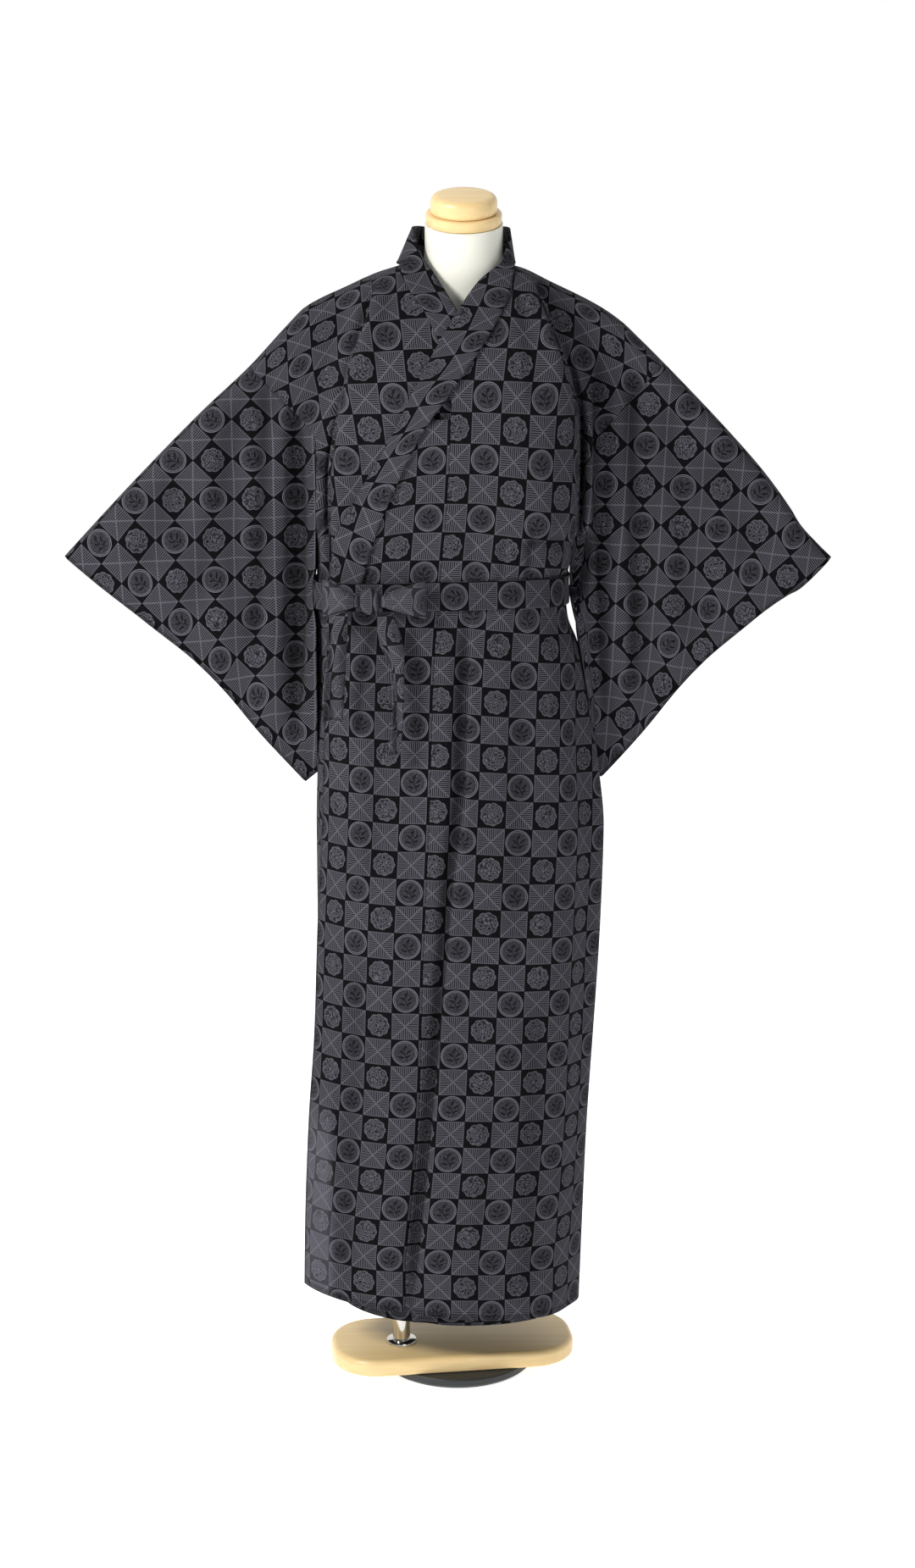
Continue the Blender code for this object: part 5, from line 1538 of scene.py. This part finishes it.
# z, x, y, half width, half depth, squareness
FORM = (
    (0.8, 0.011, 0.005, 0.139, 0.098, 2.2),
    (0.806, 0.011, 0.005, 0.146, 0.104, 2.2),
    (0.83, 0.011, 0.005, 0.155, 0.11, 2.2),
    (0.9, 0.011, 0.005, 0.158, 0.113, 2.2),
    (0.96, 0.01, 0.004, 0.153, 0.108, 2.2),
    (1.03, 0.008, 0.0, 0.144, 0.098, 2.2),
    (1.1, 0.006, -0.002, 0.138, 0.094, 2.2),
    (1.18, 0.007, -0.002, 0.142, 0.1, 2.3),
    (1.26, 0.0105, -0.002, 0.146, 0.105, 2.3),
    (1.33, 0.011, -0.001, 0.146, 0.1, 2.3),
    (1.39, 0.012, 0.001, 0.145, 0.084, 2.3),
    (1.425, 0.013, 0.003, 0.139, 0.066, 2.2),
    (1.45, 0.015, 0.003, 0.122, 0.054, 2.1),
    (1.468, 0.017, 0.003, 0.096, 0.049, 2.0),
    (1.482, 0.019, 0.002, 0.074, 0.047, 2.0),
    (1.498, 0.02, 0.001, 0.058, 0.047, 2.0),
    (1.515, 0.0205, 0.0, 0.0515, 0.048, 2.0),
    (1.54, 0.0205, -0.001, 0.05, 0.049, 2.0),
    (1.564, 0.0205, -0.002, 0.05, 0.049, 2.0),
)


# height along the neck's axis and radius, for the two discs of the neck cap
CAP_PROFILES = {
    "lower": (
        (0.0003, 0.0465), (0.0009, 0.0478), (0.002, 0.0485),
        (0.011, 0.049), (0.0128, 0.0484), (0.014, 0.047),
    ),
    "upper": (
        (0.0143, 0.0405), (0.015, 0.0418), (0.0165, 0.0425), (0.029, 0.0425),
        (0.0322, 0.0414), (0.0345, 0.0395), (0.0362, 0.0364), (0.037, 0.033),
    ),
}
# height above the board and radius
FLANGE_PROFILE = ((REST_GAP, 0.021), (0.0026, 0.021), (0.0036, 0.0205), (0.004, 0.0195))


def lofted(
    name: str, rings: Sequence, finish: bpy.types.Material, smooth_angle: float = 40.0
) -> bpy.types.Object:
    """A closed solid through rings of points, one above another."""
    made = bmesh.new()
    loops = [[made.verts.new(place) for place in ring] for ring in rings]
    for low, high in zip(loops, loops[1:]):
        for i in range(len(low)):
            k = (i + 1) % len(low)
            made.faces.new((low[i], low[k], high[k], high[i]))
    made.faces.new(loops[0])
    made.faces.new(loops[-1])
    bmesh.ops.recalc_face_normals(made, faces=made.faces)
    piece = finished(name, made, finish)
    piece.data.shade_smooth()
    piece.data.set_sharp_from_angle(angle=math.radians(smooth_angle))
    return piece


@dataclass
class DressForm:
    """The limbless body of the form, its neck cap, pole, board and disc."""

    sizes: FormSizes

    def oval(self, row: Sequence[float], count: int, tilt: float = 0.0, height: float = 0.0) -> list:
        """A ring of points, leaning to the front and raised along its leaning axis."""
        z, x, y, half_width, half_depth, squareness = row
        ring = []
        for i in range(count):
            turn = 2 * math.pi * i / count
            cos, sin = math.cos(turn), math.sin(turn)
            across = half_width * math.copysign(abs(cos) ** (2 / squareness), cos)
            deep = half_depth * math.copysign(abs(sin) ** (2 / squareness), sin)
            ring.append((
                x + across,
                y + deep * math.cos(tilt) - height * math.sin(tilt),
                z + deep * math.sin(tilt) + height * math.cos(tilt),
            ))
        return ring

    def torso(self, name: str, finish: bpy.types.Material) -> bpy.types.Object:
        """The smooth body with its neck, its rings set close on curves through the table."""
        curves = [Curve(FORM, column) for column in range(1, 6)]
        heights = finer([row[0] for row in FORM], fineness(0.008))
        rings = []
        for z in heights:
            tilt = self.sizes.tilt * ease(self.sizes.neck_top, FORM[-1][0], z)
            rings.append(self.oval((z, *(curve(z) for curve in curves)), 96, tilt))
        return lofted(name, rings, finish)

    def cap(self, name: str, profile: Rows, finish: bpy.types.Material) -> bpy.types.Object:
        """A turned disc of the neck cap; the profile's rows are height and radius."""
        z, x, y = FORM[-1][:3]
        rings = [self.oval((z, x, y, r, r, 2.0), 96, self.sizes.tilt, h) for h, r in profile]
        return lofted(name, rings, finish, 30)

    def turned(self, name: str, profile: Rows, at: tuple, finish: bpy.types.Material) -> bpy.types.Object:
        """An upright turned piece; the profile's rows are height and radius."""
        rings = [self.oval((z, *at, r, r, 2.0), 96) for z, r in profile]
        return lofted(name, rings, finish, 30)

    def board(self, name: str, finish: bpy.types.Material) -> bpy.types.Object:
        """The wooden board with round ends and an eased upper edge."""
        sizes = self.sizes
        low, edge = sizes.disc_top + REST_GAP, sizes.board_edge
        eased = [
            (sizes.board_top - edge + edge * math.sin(a), edge * (1 - math.cos(a)))
            for a in spread(0, math.pi / 2, 7)
        ]
        steps = [(low, 0.0015), (low + 0.0015, 0.0)] + eased
        rings = []
        for z, inset in steps:
            corner = sizes.board_corner - inset
            half_length, half_depth = sizes.board_length / 2 - inset, sizes.board_depth / 2 - inset
            ring = []
            for sx, sy, start in ((1, 1, 0), (-1, 1, 90), (-1, -1, 180), (1, -1, 270)):
                for i in range(19):
                    angle = math.radians(start + 5 * i)
                    x = sx * (half_length - corner) + corner * math.cos(angle)
                    y = sy * (half_depth - corner) + corner * math.sin(angle)
                    cos, sin = math.cos(sizes.board_turn), math.sin(sizes.board_turn)
                    ring.append((0.005 + x * cos - y * sin, 0.002 + x * sin + y * cos, z))
            rings.append(ring)
        return lofted(name, rings, finish, 30)


# --- Studio ---
# name, place, what it is aimed at, width, power, colour
LIGHTS = (
    ("key", (-2.0, -1.9, 2.6), (0.0, 0.0, 0.8), 0.7, 88.0, (1.0, 0.985, 0.965)),
    ("fill", (1.2, -3.2, 1.3), (0.0, 0.0, 0.7), 1.2, 15.0, (0.95, 0.97, 1.0)),
)


@dataclass
class Studio:
    """The white room: floor, world, soft lights and camera."""

    bright: float = 1.0
    dim: float = 0.22
    floor_reach: float = 6.0
    floor_z: float = -0.0006
    floor_glow: float = 0.75
    lens: float = 54.2
    camera_place: tuple = (0.0125, -3.10, 1.49)
    camera_pitch: float = 78.0

    def world(self) -> None:
        """A world that is white behind the object and dimmer on the side it faces."""
        world = bpy.data.worlds.new("white_room")
        world.use_nodes = True
        tree = world.node_tree
        background = tree.nodes["Background"]
        background.inputs["Color"].default_value = (1.0, 1.0, 1.0, 1.0)
        incoming = tree.nodes.new("ShaderNodeNewGeometry").outputs["Incoming"]
        split = tree.nodes.new("ShaderNodeSeparateXYZ")
        tree.links.new(incoming, split.inputs[0])
        behind = ((Value(tree, split.outputs[1]) * -1.0 + 0.25) / 0.80).clamp()
        strength = behind * (self.bright - self.dim) + self.dim
        tree.links.new(strength.socket, background.inputs["Strength"])
        bpy.context.scene.world = world

    def light(self, name: str, place: tuple, aim: tuple, size: float, power: float, colour: tuple) -> None:
        """A soft square light aimed at a point."""
        lamp = bpy.data.lights.new(name, "AREA")
        lamp.size = size
        lamp.energy = power
        lamp.color = colour
        made = bpy.data.objects.new(name, lamp)
        made.location = place
        towards = np.array(aim) - np.array(place)
        flat = math.hypot(towards[0], towards[1])
        heading = math.atan2(towards[1], towards[0]) - math.pi / 2
        made.rotation_euler = (math.atan2(flat, -towards[2]), 0.0, heading)
        bpy.context.scene.collection.objects.link(made)

    def floor(self) -> None:
        """The white floor, which glows a little so that it shows no edge."""
        white = Shader("white_floor", 0.9)
        white.set("Base Color", (0.9, 0.9, 0.9, 1.0))
        white.set("Emission Color", (1.0, 1.0, 1.0, 1.0))
        white.set("Emission Strength", self.floor_glow)
        reach, made = self.floor_reach, bmesh.new()
        corners = ((-reach, -reach), (reach, -reach), (reach, reach), (-reach, reach))
        made.faces.new([made.verts.new((x, y, self.floor_z)) for x, y in corners])
        finished("floor", made, white.material)

    def camera(self) -> None:
        """The camera, level with the neck and looking a little down."""
        lens = bpy.data.cameras.new("camera")
        lens.lens = self.lens
        lens.sensor_width = 36.0
        made = bpy.data.objects.new("camera", lens)
        made.location = self.camera_place
        made.rotation_euler = (math.radians(self.camera_pitch), 0.0, 0.0)
        bpy.context.scene.collection.objects.link(made)
        bpy.context.scene.camera = made

    def build(self) -> None:
        """Sets up the whole room."""
        self.world()
        self.floor()
        for row in LIGHTS:
            self.light(*row)
        self.camera()


def robe_sheets() -> list:
    """Every piece of cloth as a fine sheet."""
    sash = Sash()
    found = [
        BodyPanel(1).sheet("body_left"),
        BodyPanel(-1).sheet("body_right"),
        LeftOverlap().sheet("overlap_left"),
        RightOverlap().sheet("overlap_right"),
        Sleeve(1).sheet("sleeve_left"),
        Sleeve(-1).sheet("sleeve_right"),
        Collar().sheet("collar"),
        sash.band("sash_band"),
        sash.knot("sash_knot"),
    ]
    found += [sash.loop(name) for name in LOOPS]
    found += [sash.tail(name) for name in TAILS]
    return found


def settle_in(piece: bpy.types.Object, node: str) -> None:
    """Puts a fine piece in the place of its node."""
    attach(piece, "root")
    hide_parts(node)
    LOG.info("%s in the place of %s", piece.name, node)


def build_robe() -> None:
    """Makes the cloth and puts each piece in the place of its node."""
    cotton = CottonFinish().material("printed_cotton")
    made = {}
    for sheet in robe_sheets():
        node = sheet.name
        sheet.name = node + "_cloth"
        made[node] = sheet.build(cotton)
        settle_in(made[node], node)


def build_form() -> None:
    """Makes the dress form and its stand."""
    form = DressForm(FormSizes())
    sizes = form.sizes
    cover = SolidFinish((0.80, 0.80, 0.71), 0.62, relief=0.00006).material("form_cover")
    wood = SolidFinish((0.88, 0.66, 0.33), 0.42, coat=0.15, grain=0.55).material("light_wood")
    chrome = SolidFinish((0.62, 0.60, 0.56), 0.12, metallic=1.0).material("chrome_tube")
    black = SolidFinish((0.022, 0.026, 0.027), 0.5, relief=0.00005, relief_scale=1500.0)
    steel = black.material("black_steel")
    settle_in(form.torso("torso_cover", cover), "form_torso")
    for name, profile in CAP_PROFILES.items():
        settle_in(form.cap(f"cap_{name}_turned", profile, wood), f"neck_cap_{name}")
    at = (sizes.pole_x, sizes.pole_y)
    top = sizes.board_top
    pole = [(top + 0.0043, sizes.pole_radius), (FORM[0][0] - REST_GAP, sizes.pole_radius)]
    flange = [(top + rise, radius) for rise, radius in FLANGE_PROFILE]
    disc = [(0.0, 0.106), (0.004, 0.110), (sizes.disc_top - 0.0015, 0.110), (sizes.disc_top, 0.1085)]
    settle_in(form.turned("pole_tube", pole, at, chrome), "pole")
    settle_in(form.turned("flange_turned", flange, at, chrome), "pole_flange")
    settle_in(form.turned("disc_turned", disc, (0.012, 0.014), steel), "foot_disc")
    settle_in(form.board("board_eased", wood), "base_board")


def main() -> None:
    """Loads the frame, puts the fine pieces on it and lights them."""
    logging.basicConfig(level=logging.INFO)
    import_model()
    build_robe()
    build_form()
    Studio().build()
    bpy.context.scene.view_settings.view_transform = "Standard"
    bpy.context.view_layer.update()


if __name__ == "__main__":
    main()
